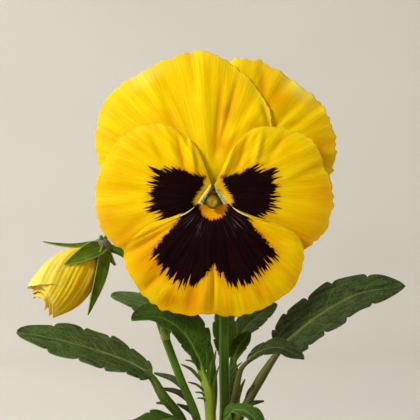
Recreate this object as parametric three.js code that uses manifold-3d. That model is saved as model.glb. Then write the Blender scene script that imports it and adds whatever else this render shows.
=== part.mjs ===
// A potted pansy: one open bloom seen from the front, one nodding bud, toothed leaves on their
// stalks, the crown they grow from, potting soil and a plain terracotta pot.
// Millimetres, +Z up. The origin is the centre of the pot's foot, and the bloom faces -Y.
import * as THREE from 'three';
import { mergeVertices } from 'three/addons/utils/BufferGeometryUtils.js';
import Module from 'manifold-3d';

const wasm = await Module();
wasm.setup();

// ---------------------------------------------------------------- driving dimensions

const CLEARANCE = 0.3;

const POT_HEIGHT = 96;
const POT_RIM_RADIUS = 55;
const POT_FOOT_RADIUS = 37;
const POT_WALL = 4.5;
const POT_FLOOR = 6;
const COLLAR_HEIGHT = 22;
const DRAIN_RADIUS = 5;
const DRAIN_DISTANCE = 19;
const DRAIN_COUNT = 3;
const POT_SIDES = 40;

const SOIL_TOP = 87;
const SOIL_RELIEF = 0.9;

const CROWN_RADIUS = 9.5;
const CROWN_TOP = SOIL_TOP + 6;
const CROWN_FOOT = SOIL_TOP - 16;
const STALK_FOOT = SOIL_TOP - 7;

const BLOOM_WIDTH = 75;
const BLOOM_Y = -16;
const PETAL_THICKNESS = 0.7;
const PETAL_LAYER = 2.2;
const THROAT_DEPTH = 3.2;
const PETAL_CURL = 5;
const CLAW_RADIUS = 2.9;
const RECEPTACLE_FRONT = 9.3;
const RECEPTACLE_BACK = 12.8;
const RECEPTACLE_RADIUS = 3.4;
const STIGMA_RADIUS = 2.1;
const BLOOM_STALK_RADIUS = 1.55;
const BUD_STALK_RADIUS = 1.3;
// Where the two flower stalks stand on the crown: direction in degrees, distance from its middle.
const BLOOM_STALK_FOOT = [20, 0.6];
const BUD_STALK_FOOT = [180, 4.2];
const SEPAL_THICKNESS = 0.6;
const LEAF_THICKNESS = 0.7;

// The photograph gives places as pixels of its 420 x 420 frame: how wide the bloom is there,
// where the frame's middle lies, and from how far away it was looked at.
const BLOOM_WIDTH_PX = 241;
const FRAME_MIDDLE_PX = 210;
const FRAME_BOTTOM_PX = 420;
const THROAT_PX = [213, 201];
const MM_PER_PX = BLOOM_WIDTH / BLOOM_WIDTH_PX;
const VIEW_DISTANCE = 450;
const VIEW_AXIS_X = -1.9;
const FRAME_BOTTOM_Z = SOIL_TOP + 25;
const VIEW_AXIS_Z = FRAME_BOTTOM_Z + (FRAME_BOTTOM_PX - FRAME_MIDDLE_PX) * MM_PER_PX;

// ---------------------------------------------------------------- colours

const finish = (color, roughness) => new THREE.MeshStandardMaterial({ color, roughness, metalness: 0 });
const PETAL_YELLOW = finish(0xf6c80c, 0.55);
const LOWER_YELLOW = finish(0xf9c006, 0.55);
const BUD_YELLOW = finish(0xf0cc35, 0.55);
const LEAF_GREEN = finish(0x3d5a2e, 0.45);
const YOUNG_GREEN = finish(0x5f8a2e, 0.45);
const STALK_GREEN = finish(0x426b18, 0.45);
const CALYX_GREEN = finish(0x4b6a1c, 0.5);
const STIGMA_OLIVE = finish(0x8e8a1c, 0.4);
const ANTHER_BROWN = finish(0x9a5a12, 0.6);
const SOIL_BROWN = finish(0x3a2a1e, 0.95);
const TERRACOTTA = finish(0xb5653f, 0.8);

// ---------------------------------------------------------------- small helpers

// A place in the object from a pixel of the photograph and a depth y, with the view's perspective.
function at(px, py, y) {
  const spread = MM_PER_PX * (1 + (y - BLOOM_Y) / VIEW_DISTANCE);
  const x = VIEW_AXIS_X + (px - FRAME_MIDDLE_PX) * spread;
  const z = VIEW_AXIS_Z + (FRAME_MIDDLE_PX - py) * spread;
  return new THREE.Vector3(x, y, z);
}

const THROAT = at(THROAT_PX[0], THROAT_PX[1], BLOOM_Y);

// A place in the bloom: across and up from the throat, and depth behind the face.
function inBloom(across, up, depth) {
  return new THREE.Vector3(THROAT.x + across, BLOOM_Y + depth, THROAT.z + up);
}

// The same for what is measured in the photograph, where things further back look smaller.
function seenInBloom(across, up, depth) {
  const spread = 1 + depth / VIEW_DISTANCE;
  return inBloom(across * spread, up * spread, depth);
}

const smooth = (t) => t * t * (3 - 2 * t);
const degrees = (angle) => angle * Math.PI / 180;
const spaced = (count, from, to) =>
  Array.from({ length: count + 1 }, (_, i) => from + (to - from) * i / count);

// A number between neighbouring entries of a list, for t from 0 to 1.
function between(list, t) {
  const place = Math.min(Math.max(t, 0), 1) * (list.length - 1);
  const left = Math.min(Math.floor(place), list.length - 2);
  return THREE.MathUtils.lerp(list[left], list[left + 1], place - left);
}

function geometryFrom(points, faces) {
  const geometry = new THREE.BufferGeometry();
  geometry.setAttribute('position', new THREE.Float32BufferAttribute(points.flatMap((p) => p.toArray()), 3));
  geometry.setIndex(faces.flat());
  return geometry;
}

function solidOf(geometry) {
  const bare = geometry.clone();
  bare.deleteAttribute('normal');
  bare.deleteAttribute('uv');
  const merged = mergeVertices(bare);
  const vertProperties = new Float32Array(merged.attributes.position.array);
  const triVerts = new Uint32Array(merged.index.array);
  return new wasm.Manifold(new wasm.Mesh({ numProp: 3, vertProperties, triVerts }));
}

function geometryOf(solid) {
  const mesh = solid.getMesh();
  const geometry = new THREE.BufferGeometry();
  geometry.setAttribute('position', new THREE.BufferAttribute(mesh.vertProperties, 3));
  geometry.setIndex(new THREE.BufferAttribute(mesh.triVerts, 1));
  geometry.computeVertexNormals();
  return geometry;
}

const fuse = (solids) => solids.reduce((whole, piece) => whole.add(piece));

// A closed sheet of even thickness on a surface(u, v). Both faces have the same triangles.
// margin(u, v) draws the sheet's two long edges in or out.
function sheet(surface, rows, columns, thickness, margin = () => 1) {
  const step = 1e-3;
  const lowest = rows[0];
  const highest = rows[rows.length - 1];
  const front = [];
  const back = [];
  for (const u of rows) {
    for (const v of columns) {
      const s = Math.abs(v) === 1 ? v * margin(u, v) : v;
      const middle = surface(u, s);
      const alongU = surface(Math.min(u + step, highest), s).sub(surface(Math.max(u - step, lowest), s));
      const alongV = surface(u, Math.min(s + step, 1)).sub(surface(u, Math.max(s - step, -1)));
      const half = alongU.cross(alongV).normalize().multiplyScalar(thickness / 2);
      front.push(middle.clone().add(half));
      back.push(middle.clone().sub(half));
    }
  }
  const width = columns.length;
  const lift = front.length;
  const faces = [];
  for (let i = 0; i < rows.length - 1; i++) {
    for (let j = 0; j < width - 1; j++) {
      const a = i * width + j;
      const b = a + 1;
      const c = a + width + 1;
      const d = a + width;
      faces.push([a, d, b], [b, d, c]);
      faces.push([a + lift, b + lift, d + lift], [b + lift, c + lift, d + lift]);
    }
  }
  const wall = (from, to) => faces.push([from, to, to + lift], [from, to + lift, from + lift]);
  for (let j = 0; j < width - 1; j++) {
    wall(j, j + 1);
    wall(lift - 1 - j, lift - 2 - j);
  }
  for (let i = 0; i < rows.length - 1; i++) {
    wall((i + 1) * width, i * width);
    wall((i + 1) * width - 1, (i + 2) * width - 1);
  }
  return geometryFrom([...front, ...back], faces);
}

// A closed body of rings round an axis, with a point at the middle of its first and last ring.
function rings(count, sides, place) {
  const points = [];
  const middles = [new THREE.Vector3(), new THREE.Vector3()];
  for (let i = 0; i < count; i++) {
    for (let k = 0; k < sides; k++) {
      const point = place(i, 2 * Math.PI * k / sides);
      points.push(point);
      if (i === 0) middles[0].addScaledVector(point, 1 / sides);
      if (i === count - 1) middles[1].addScaledVector(point, 1 / sides);
    }
  }
  const first = points.push(middles[0]) - 1;
  const last = points.push(middles[1]) - 1;
  const faces = [];
  for (let k = 0; k < sides; k++) {
    const next = (k + 1) % sides;
    for (let i = 0; i < count - 1; i++) {
      const a = i * sides;
      const d = a + sides;
      faces.push([a + k, a + next, d + k], [a + next, d + next, d + k]);
    }
    const top = (count - 1) * sides;
    faces.push([first, next, k], [last, top + k, top + next]);
  }
  return geometryFrom(points, faces);
}

// A stalk of changing thickness along a smooth curve through the points.
function stalk(points, radii, steps, sides) {
  const curve = new THREE.CatmullRomCurve3(points);
  const frames = curve.computeFrenetFrames(steps);
  return solidOf(rings(steps + 1, sides, (i, angle) => {
    const t = i / steps;
    const radius = between(radii, t);
    return curve.getPointAt(t)
      .addScaledVector(frames.normals[i], radius * Math.cos(angle))
      .addScaledVector(frames.binormals[i], radius * Math.sin(angle));
  }));
}

// A body turned round an axis: pairs of radius and height, from the bottom up its outside.
function turned(profile, sides) {
  return new THREE.LatheGeometry(profile.map(([radius, height]) => new THREE.Vector2(radius, height)), sides);
}

const turnedUpright = (profile, sides) => solidOf(turned(profile, sides).rotateX(Math.PI / 2));
const turnedInBloom = (profile, sides, up) =>
  solidOf(turned(profile, sides).translate(THROAT.x, BLOOM_Y, THROAT.z + up));

// ---------------------------------------------------------------- pot and soil

const collarFoot = POT_HEIGHT - COLLAR_HEIGHT;
const wallTopRadius = POT_RIM_RADIUS - 7;
const innerTopRadius = POT_RIM_RADIUS - POT_WALL - 1;
const innerFootRadius = POT_FOOT_RADIUS - POT_WALL;

// The inside of the pot narrows evenly from the rim to the floor.
function potInnerRadius(z) {
  return THREE.MathUtils.mapLinear(z, POT_FLOOR, POT_HEIGHT, innerFootRadius, innerTopRadius);
}

function pot() {
  const shell = turnedUpright([
    [0, 0], [POT_FOOT_RADIUS - 1.5, 0], [POT_FOOT_RADIUS, 1.5],
    [wallTopRadius, collarFoot], [POT_RIM_RADIUS - 3, collarFoot], [POT_RIM_RADIUS - 2, collarFoot + 1],
    [POT_RIM_RADIUS, POT_HEIGHT - 1.5], [POT_RIM_RADIUS - 1.5, POT_HEIGHT],
    [innerTopRadius + 1.2, POT_HEIGHT], [potInnerRadius(POT_HEIGHT - 1.2), POT_HEIGHT - 1.2],
    [innerFootRadius, POT_FLOOR], [0, POT_FLOOR],
  ], POT_SIDES);
  const drains = Array.from({ length: DRAIN_COUNT }, (_, i) => {
    const angle = 2 * Math.PI * (i + 0.25) / DRAIN_COUNT;
    const hole = new THREE.CylinderGeometry(DRAIN_RADIUS, DRAIN_RADIUS, 3 * POT_FLOOR, 12);
    hole.rotateX(Math.PI / 2);
    hole.translate(DRAIN_DISTANCE * Math.cos(angle), DRAIN_DISTANCE * Math.sin(angle), 0);
    return solidOf(hole);
  });
  return shell.subtract(fuse(drains));
}

// Low swells of the soil's surface, and its fall from the crown to the pot's wall.
function soilHeight(radius, angle) {
  const x = radius * Math.cos(angle);
  const y = radius * Math.sin(angle);
  const swell = Math.sin(0.31 * x + 1.3) * Math.cos(0.27 * y) + 0.6 * Math.sin(0.53 * y - 0.22 * x);
  return SOIL_TOP + SOIL_RELIEF * swell - 2.5 * (radius / innerTopRadius) ** 2;
}

function soil() {
  const foot = POT_FLOOR + CLEARANCE;
  const rim = SOIL_TOP - 2.5;
  const wallRadius = (z) => potInnerRadius(z) - CLEARANCE;
  const edge = wallRadius(rim - 2);
  const topRadii = [0.99, 0.8, 0.6, 0.4, 0.12].map((share) => share * edge);
  const profile = [[8, foot], [wallRadius(foot), foot], [edge, rim - 2]];
  const solid = rings(profile.length + topRadii.length, POT_SIDES, (i, angle) => {
    const [radius, z] = i < profile.length
      ? profile[i]
      : [topRadii[i - profile.length], soilHeight(topRadii[i - profile.length], angle)];
    return new THREE.Vector3(radius * Math.cos(angle), radius * Math.sin(angle), z);
  });
  return solidOf(solid).subtract(crownBody(CLEARANCE));
}

// ---------------------------------------------------------------- crown

function crownBody(grown) {
  const radius = CROWN_RADIUS + grown;
  return turnedUpright([
    [0, CROWN_FOOT - grown], [radius * 0.55, CROWN_FOOT - grown], [radius * 0.9, CROWN_FOOT + 6],
    [radius, SOIL_TOP], [radius * 0.93, CROWN_TOP - 2.5], [radius * 0.7, CROWN_TOP - 0.5 + grown],
    [0, CROWN_TOP + grown],
  ], 20);
}

// A place on the crown where a stalk stands, by direction and distance from its middle.
function onCrown(direction, distance, z) {
  const angle = degrees(direction);
  return new THREE.Vector3(distance * Math.cos(angle), distance * Math.sin(angle), z);
}

// Each stalk starts upright in its socket in the crown.
function fromCrown(direction, distance, points) {
  const heights = [STALK_FOOT, CROWN_TOP - 4, CROWN_TOP + 2];
  return [...heights.map((z) => onCrown(direction, distance, z)), ...points];
}

const sockets = [];

// A plain hole in the crown for the stalk that stands there.
function addSocket(direction, distance, radius) {
  const foot = STALK_FOOT - CLEARANCE;
  const height = CROWN_TOP + 2 - foot;
  const { x, y, z } = onCrown(direction, distance, foot + height / 2);
  const hole = new THREE.CylinderGeometry(radius + 2 * CLEARANCE, radius + 2 * CLEARANCE, height, 6);
  sockets.push(solidOf(hole.rotateX(Math.PI / 2).translate(x, y, z)));
}

const crown = () => crownBody(0).subtract(fuse(sockets));

// ---------------------------------------------------------------- petals

// How far the bloom's face lies behind its front plane: a hollow at the throat, and edges that
// curl away from the viewer.
function faceDepth(radius) {
  return THROAT_DEPTH * Math.exp((3 - radius) / 3.5) + PETAL_CURL * (radius / 38) ** 2.5;
}

// Pixels of the photograph along a petal's edge, as a smooth curve round the throat.
function edgeCurve(pixels) {
  return new THREE.SplineCurve(pixels.map(([px, py]) =>
    new THREE.Vector2((px - THROAT_PX[0]) * MM_PER_PX, (THROAT_PX[1] - py) * MM_PER_PX)));
}

// u runs out from the throat to the petal's edge, and from 0 down to -1 along its claw, back to
// the receptacle. v runs round the edge from -1 to 1.
function petalSurface({ edgePx, inner, sag, claw, layer, folds, foldHeight, lean }) {
  const edge = edgeCurve(edgePx);
  const offset = layer * PETAL_LAYER;
  const face = (across, up, u, v) => {
    const fold = foldHeight * Math.max(u, 0) ** 1.5 * Math.sin(Math.PI * folds * v + layer);
    return faceDepth(Math.hypot(across, up)) + offset + fold + lean * Math.max(up, 0) * Math.max(u, 0);
  };
  return (u, v) => {
    const t = (v + 1) / 2;
    const bow = 1 - v * v;
    const rimAcross = THREE.MathUtils.lerp(inner[0][0], inner[1][0], t) + sag[0] * bow;
    const rimUp = THREE.MathUtils.lerp(inner[0][1], inner[1][1], t) + sag[1] * bow;
    if (u < 0) {
      const angle = degrees(claw[0] + v * claw[1]);
      const k = smooth(-u);
      const across = THREE.MathUtils.lerp(rimAcross, CLAW_RADIUS * Math.cos(angle), k);
      const up = THREE.MathUtils.lerp(rimUp, CLAW_RADIUS * Math.sin(angle), k);
      const depth = THREE.MathUtils.lerp(face(rimAcross, rimUp, 0, v), RECEPTACLE_FRONT - CLEARANCE, -u);
      return seenInBloom(across, up, depth);
    }
    const out = edge.getPoint(t);
    const across = THREE.MathUtils.lerp(rimAcross, out.x, u);
    const up = THREE.MathUtils.lerp(rimUp, out.y, u);
    return seenInBloom(across, up, face(across, up, u, v));
  };
}

const PETALS = {
  petal_upper_left: {
    edgePx: [[118, 200], [101.5, 168], [95, 135], [102, 106], [121.5, 85], [148, 69.5], [168, 57.5],
      [191, 51.5], [217.6, 56.6], [239, 68], [257, 88], [270.5, 113], [268, 140], [250, 162]],
    inner: [[-2.5, 4.8], [1.2, 5.2]], sag: [0, 0.3], claw: [114, -11],
    layer: 2, folds: 4, foldHeight: 0.5, lean: 0.06, material: PETAL_YELLOW,
  },
  petal_upper_right: {
    edgePx: [[196, 92], [206, 71], [229, 60.7], [258, 59.5], [283, 74], [307, 90], [323, 107], [333, 128],
      [336.2, 153], [330, 176], [316, 197], [292, 206]],
    inner: [[0.4, 5.4], [3.4, 4.6]], sag: [0, 0.2], claw: [66, -11],
    layer: 3, folds: 3, foldHeight: 0.5, lean: 0.06, material: PETAL_YELLOW,
  },
  petal_side_left: {
    edgePx: [[199, 150], [186, 136], [165, 124.5], [140, 127], [116, 143], [101, 168], [95.5, 197],
      [100.5, 227], [118, 247], [142, 256], [166, 250], [188, 232]],
    inner: [[-0.5, 5.2], [-4.6, -1.1]], sag: [0, 0], claw: [165, 16],
    layer: 1, folds: 4, foldHeight: 0.45, lean: 0, material: PETAL_YELLOW,
  },
  petal_side_right: {
    edgePx: [[240, 232], [262, 250], [288, 255], [311, 245], [328, 225], [333, 201], [328.5, 175],
      [318, 147], [297, 133], [272, 125.5], [248, 132], [231, 150]],
    inner: [[4.6, -1.1], [0.5, 5.2]], sag: [0, 0], claw: [15, 16],
    layer: 1, folds: 4, foldHeight: 0.45, lean: 0, material: PETAL_YELLOW,
  },
  petal_lower: {
    edgePx: [[170, 219.5], [149, 224.5], [131, 240], [124.5, 258], [133, 282], [152, 303], [180, 314.5],
      [214, 314], [246, 315], [275, 303], [295, 283], [304, 255], [298, 236], [278, 224], [256, 218.5]],
    inner: [[-4.4, -2], [4.7, -2]], sag: [0, -1.25], claw: [270, 25],
    layer: 0, folds: 6, foldHeight: 0.5, lean: 0, material: LOWER_YELLOW,
  },
};

const PETAL_ROWS = [-1, -0.5, 0, 0.12, 0.36, 0.68, 1];
const PETAL_COLUMNS = 20;

// The raised, hairy rim on a side petal, beside the stigma.
function beard(surface) {
  const path = spaced(4, -0.9, 0.9).map((v) => surface(0.03, v).add(new THREE.Vector3(0, -0.45, 0)));
  return stalk(path, [0.3, 0.75, 0.8, 0.75, 0.3], 4, 5);
}

// The lower petal's spur reaches back under the receptacle.
function spur() {
  const path = [inBloom(0, -3.2, 4.4), inBloom(0, -4.6, 7.2), inBloom(0, -5.8, 10), inBloom(0, -6.2, 14.5)];
  return stalk(path, [0.7, 1.5, 1.5, 1.4, 0.6], 6, 7);
}

function petal(name, spec) {
  const surface = petalSurface(spec);
  const blade = solidOf(sheet(surface, PETAL_ROWS, spaced(PETAL_COLUMNS, -1, 1), PETAL_THICKNESS));
  if (name === 'petal_lower') return blade.add(spur());
  if (name.startsWith('petal_side')) return blade.add(beard(surface));
  return blade;
}

// ---------------------------------------------------------------- blades: leaves and sepals

// Half width along a leaf, from a narrow base through its widest place to a blunt tip.
const leafOutline = (t, base) => Math.sin(Math.PI * (base + (0.985 - base) * t ** 0.8)) ** 0.8;
// Half width along a sepal, widest near its base, with a long point.
const sepalOutline = (t) => Math.sin(Math.PI * (0.2 + 0.785 * t)) ** 0.9;

// t runs from base to tip along the midrib, v across. The two halves rise from the midrib by
// the fold, and the edges wave.
function bladeSurface({ midrib, halfWidth, facing, outline, base = 0.05, fold = 0.25, wave = 0, waves = 3 }) {
  const curve = new THREE.CatmullRomCurve3(midrib);
  const up = new THREE.Vector3();
  return (t, v) => {
    const place = Math.min(Math.max(t, 0), 1);
    const tangent = curve.getTangentAt(place);
    up.lerpVectors(facing[0], facing[1], place);
    const side = new THREE.Vector3().crossVectors(tangent, up).normalize();
    const normal = new THREE.Vector3().crossVectors(side, tangent).normalize();
    const across = v * halfWidth * outline(place, base);
    const lift = Math.abs(across) * fold + wave * v * v * Math.sin(2 * Math.PI * waves * place + 2 * v);
    return curve.getPointAt(place).addScaledVector(side, across).addScaledVector(normal, lift);
  };
}

// Rounded teeth that point to the tip, small at the base and large at the tip.
const TEETH_GROWTH = 1.5;
const NOTCH = 0.16;

function toothRows(teeth, marks) {
  const rows = [0];
  for (let k = 0; k < teeth; k++) {
    for (const mark of marks) {
      const from = (k / teeth) ** TEETH_GROWTH;
      const to = ((k + 1) / teeth) ** TEETH_GROWTH;
      rows.push(from + (to - from) * mark);
    }
  }
  return rows;
}

function toothMargin(teeth) {
  return (u) => {
    const place = teeth * u ** (1 / TEETH_GROWTH) - 1e-6;
    const along = Math.max(place - Math.floor(place), 0);
    return 1 - NOTCH * (1 - Math.sqrt(along));
  };
}

const FINE_MARKS = [0.08, 0.5, 1];
const PLAIN_MARKS = [0.12, 1];

// Narrow lobes of a stipule, each a flat spindle rooted in the leaf's stalk.
function lobe(from, to, width) {
  const middle = from.clone().lerp(to, 0.45);
  const bend = new THREE.Vector3(0, 0, 0.12 * from.distanceTo(to));
  return stalk([from, middle.add(bend), to], [width * 0.6, width, width * 0.8, 0.25], 3, 4);
}

function leaf({ foot, route, radius = 1.1, lobes = [], teeth = 6, fine = false, ...blade }) {
  const tip = blade.midrib[0].clone().lerp(blade.midrib[1], 0.9);
  const points = [...fromCrown(foot[0], foot[1], route), blade.midrib[0], tip];
  const carrier = stalk(points, [radius * 1.15, radius, radius, radius, radius * 0.5], fine ? 14 : 11, 6);
  addSocket(foot[0], foot[1], radius * 1.15);
  const surface = bladeSurface({ outline: leafOutline, ...blade });
  const rows = toothRows(teeth, fine ? FINE_MARKS : PLAIN_MARKS);
  const plate = solidOf(sheet(surface, rows, [-1, -0.55, 0, 0.55, 1], LEAF_THICKNESS, toothMargin(teeth)));
  return fuse([carrier, plate, ...lobes.map(([from, to, width]) => lobe(from, to, width))]);
}

const facingUp = (x, y, z) => new THREE.Vector3(x, y, z).normalize();
// A place by its height above the soil.
const above = (x, y, height) => new THREE.Vector3(x, y, SOIL_TOP + height);

const LEAVES = {
  leaf_left: {
    foot: [196, 7], route: [above(-8.6, -3.5, 14), at(182, 420, -7), at(163, 396, -9)],
    midrib: [at(151, 375, -10), at(132, 364, -11), at(105, 353.5, -13), at(66, 342, -15), at(17, 331.5, -15)],
    halfWidth: 7.6, facing: [facingUp(0.1, -0.62, 0.78), facingUp(-0.1, -0.7, 0.7)],
    fold: 0.12, wave: 0.5, fine: true, radius: 1.35, material: LEAF_GREEN,
    lobes: [[at(172, 407, -8), at(156, 403, -9), 0.7]],
  },
  leaf_right: {
    foot: [352, 7.2], route: [above(8.7, -1.5, 14), at(240, 418, -2), at(248, 402, -2), at(260, 380, -2)],
    midrib: [at(270, 357, -2), at(285, 343, -3), at(318, 316, -5), at(358, 294, -8), at(405, 286, -10)],
    halfWidth: 8.2, facing: [facingUp(-0.3, -0.78, 0.5), facingUp(0.05, -0.8, 0.6)],
    fold: 0.16, wave: 0.6, base: 0.16, fine: true, radius: 1.3, material: LEAF_GREEN,
    lobes: [[at(246, 404, -2), at(254, 384, -3.5), 0.9], [at(239, 413, -2), at(264, 401, -4.5), 0.9]],
  },
  leaf_front_right: {
    foot: [322, 6.6], route: [at(231, 418, -8), at(236, 392, -10), at(241, 370, -12)],
    midrib: [at(246, 362, -13), at(260, 352, -14), at(278, 348, -16), at(304, 361, -18)],
    halfWidth: 4.6, facing: [facingUp(-0.3, -0.5, 0.8), facingUp(0.4, -0.5, 0.75)],
    fold: 0.2, wave: 0.2, radius: 0.9, teeth: 4, material: LEAF_GREEN,
  },
  leaf_centre_left: {
    foot: [262, 3.7], route: [at(211, 420, -4.5), at(211, 396, -5)],
    midrib: [at(207, 384, -5), at(197, 355, -4.5), at(183, 332, -4.5), at(160, 318, -5), at(131.5, 319, -7)],
    halfWidth: 8.7, facing: [facingUp(0.3, -0.95, 0.2), facingUp(0.1, -0.45, 0.9)],
    fold: 0.2, wave: 0.5, fine: true, radius: 1.4, material: LEAF_GREEN,
    lobes: [
      [at(206, 390, -5), at(183, 362, -6), 0.7], [at(208, 398, -5), at(187, 380, -6.5), 0.6],
      [at(209, 404, -5), at(193, 391, -6.5), 0.6], [at(210, 396, -5), at(214, 354, -5.5), 0.7],
    ],
  },
  leaf_young: {
    foot: [52, 4.6], route: [at(226, 410, 5.5), at(226, 380, 6.5)],
    midrib: [at(225, 360, 8), at(225, 335, 9.5), at(224, 300, 11)],
    halfWidth: 4.2, facing: [facingUp(0, -1, 0.1), facingUp(0, -0.9, -0.2)],
    fold: 0.25, teeth: 4, radius: 0.9, material: YOUNG_GREEN,
  },
  leaf_back_left: {
    foot: [128, 6.6], route: [at(214, 400, 14), at(212, 365, 20)],
    midrib: [at(205, 335, 24), at(180, 318, 27), at(148, 305, 30), at(111, 295, 32)],
    halfWidth: 6, facing: [facingUp(0.2, -0.6, 0.7), facingUp(0, -0.6, 0.75)],
    fold: 0.15, wave: 0.4, material: LEAF_GREEN,
    lobes: [[at(214, 404, 13), at(154, 373, 8), 1], [at(214, 412, 12), at(160, 388, 8), 0.9]],
  },
  leaf_behind_right: {
    foot: [26, 6.8], route: [at(232, 395, 8), at(233, 365, 12)],
    midrib: [at(235, 345, 14), at(246, 327, 16), at(260, 314, 18), at(277, 304, 19)],
    halfWidth: 4.6, facing: [facingUp(-0.5, -0.75, 0.4), facingUp(0, -0.8, 0.6)],
    fold: 0.2, wave: 0.3, teeth: 5, material: LEAF_GREEN,
  },
  leaf_dark_right: {
    foot: [350, 4.3], route: [at(237, 405, 0.5), at(237, 375, 1)],
    midrib: [at(237, 362, 2), at(240, 347, 2.5), at(250, 331, 3)],
    halfWidth: 3.1, facing: [facingUp(-0.6, -0.75, 0.3), facingUp(0.2, -0.8, 0.6)],
    fold: 0.2, teeth: 3, radius: 0.8, material: LEAF_GREEN,
    lobes: [
      [at(237, 390, 0.5), at(242, 354, -1.5), 0.6], [at(237, 398, 0), at(241, 366, -2), 0.5],
      [at(237, 404, 0), at(245, 379, -2), 0.5],
    ],
  },
  leaf_bottom_left: {
    foot: [224, 7.2], route: [above(-6.5, -9, 14), above(-8.5, -13, 20)],
    midrib: [above(-9, -14.5, 23), above(-13.5, -18, 25.5), above(-21, -22, 24), above(-33, -28, 15)],
    halfWidth: 7.5, facing: [facingUp(0.1, -0.2, 1), facingUp(-0.3, -0.2, 0.9)],
    fold: 0.15, wave: 0.5, material: LEAF_GREEN,
  },
  leaf_bottom_right: {
    foot: [292, 7], route: [above(3, -10.5, 12), above(2, -14, 20)],
    midrib: [above(2.5, -15, 24), above(6, -16.5, 28), above(11, -19, 26.5), above(14.5, -22, 19)],
    halfWidth: 4.6, facing: [facingUp(0.1, -0.4, 0.9), facingUp(0.6, -0.3, 0.6)],
    fold: 0.2, wave: 0.3, teeth: 5, material: YOUNG_GREEN,
  },
};

// Low leaves of the crown on the sides the photograph doesn't show: direction, reach and droop.
const LOW_LEAVES = [
  { direction: 62, reach: 58, rise: 8, halfWidth: 8.2 },
  { direction: 96, reach: 48, rise: 7, halfWidth: 7.8 },
  { direction: 160, reach: 60, rise: 9, halfWidth: 8.4 },
  { direction: 260, reach: 46, rise: 5, halfWidth: 7.4 },
];

function lowLeaf({ direction, reach, rise, halfWidth }) {
  const out = (distance, z) => onCrown(direction, distance, z);
  return {
    foot: [direction, 7.2],
    route: [out(10, CROWN_TOP + 4)],
    midrib: [
      out(reach * 0.32, CROWN_TOP + rise * 0.75), out(reach * 0.55, CROWN_TOP + rise),
      out(reach * 0.8, CROWN_TOP + rise * 0.9), out(reach, CROWN_TOP + rise * 0.35 + 3),
    ],
    halfWidth, facing: [facingUp(0, 0, 1), onCrown(direction, 0.4, 0.9)],
    fold: 0.18, wave: 0.5, teeth: 5, material: LEAF_GREEN,
  };
}

LOW_LEAVES.forEach((spec, i) => {
  LEAVES[`leaf_low_${i + 1}`] = lowLeaf(spec);
});

// ---------------------------------------------------------------- calyx, pistil and anthers

// Directions of the five sepals round the receptacle, as seen from the front.
const SEPAL_DIRECTIONS = [90, 20, 160, 225, 315];

function bloomSepal(direction) {
  const angle = degrees(direction);
  const out = (radius, depth) => inBloom(radius * Math.cos(angle), radius * Math.sin(angle), depth);
  const surface = bladeSurface({
    midrib: [out(2, 10.6), out(7, 10.4), out(15.5, 12.5)], halfWidth: 2,
    facing: [new THREE.Vector3(0, 1, 0), new THREE.Vector3(0, 1, 0)], outline: sepalOutline,
  });
  return solidOf(sheet(surface, spaced(5, 0, 1), [-1, 0, 1], SEPAL_THICKNESS));
}

// The small ear that each sepal sends back beside the stalk.
function bloomEar(direction) {
  const angle = degrees(direction);
  const out = (radius, depth) => inBloom(radius * Math.cos(angle), radius * Math.sin(angle), depth);
  return stalk([out(2.6, 11.8), out(4, 13.6), out(5, 15.6)], [1, 1.1, 0.35], 2, 5);
}

function bloomCalyx() {
  const receptacle = turnedInBloom([
    [0, RECEPTACLE_FRONT], [RECEPTACLE_RADIUS - 0.6, RECEPTACLE_FRONT],
    [RECEPTACLE_RADIUS, RECEPTACLE_FRONT + 0.7], [RECEPTACLE_RADIUS, RECEPTACLE_FRONT + 2],
    [2.2, RECEPTACLE_BACK], [0, RECEPTACLE_BACK],
  ], 12, 0);
  return fuse([receptacle, ...SEPAL_DIRECTIONS.map(bloomSepal), ...SEPAL_DIRECTIONS.slice(1).map(bloomEar)]);
}

// Ovary, style and the round stigma, one turned body.
function pistil() {
  const ball = spaced(5, -90, 60).map(degrees)
    .map((a) => [Math.max(STIGMA_RADIUS * Math.cos(a), 0), 0.5 + STIGMA_RADIUS * Math.sin(a)]);
  ball[0][0] = 0;
  const base = RECEPTACLE_FRONT - CLEARANCE;
  return turnedInBloom([...ball, [0.7, 3.2], [0.75, 5.6], [1.15, 6.4], [1.15, base], [0, base]], 10, -0.4);
}

// The five anthers stand as one ring round the ovary.
function anthers() {
  const base = RECEPTACLE_FRONT - CLEARANCE;
  return turnedInBloom([
    [1.55, base], [1.45, 5.2], [1.5, 4.1], [1.9, 4.3], [2.05, 6.5], [2, base], [1.55, base],
  ], 10, -0.4);
}

function bloomStalk() {
  const points = [
    at(224, 420, 1), at(224, 370, 3), at(224, 316, 5), at(223, 250, 6.5), inBloom(2.6, -7, 22.6),
    inBloom(1.6, 0.4, 22.4), inBloom(0.7, 2.7, 19.8), inBloom(0.1, 1.1, 16.8),
    inBloom(0, 0, 14.6), inBloom(0, 0, RECEPTACLE_BACK + CLEARANCE),
  ];
  const radius = BLOOM_STALK_RADIUS;
  addSocket(...BLOOM_STALK_FOOT, radius);
  return stalk(fromCrown(...BLOOM_STALK_FOOT, points), [radius, radius], 34, 7);
}

// ---------------------------------------------------------------- bud

const BUD_HUB = at(103, 247, 2);
const BUD_MOUTH = at(41, 302, -5);
const budAxis = BUD_MOUTH.clone().sub(BUD_HUB);
const BUD_LENGTH = budAxis.length();
budAxis.normalize();
const budSide = new THREE.Vector3(-1, 0, 1).projectOnPlane(budAxis).normalize();
const budFront = new THREE.Vector3().crossVectors(budAxis, budSide);
const BUD_RADII = [1.6, 4.9, 6.7, 7.6, 8, 8.1, 7.8, 7, 5.4];
const BUD_START = 0.1;
const BUD_TWIST = 2.2;

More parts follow.
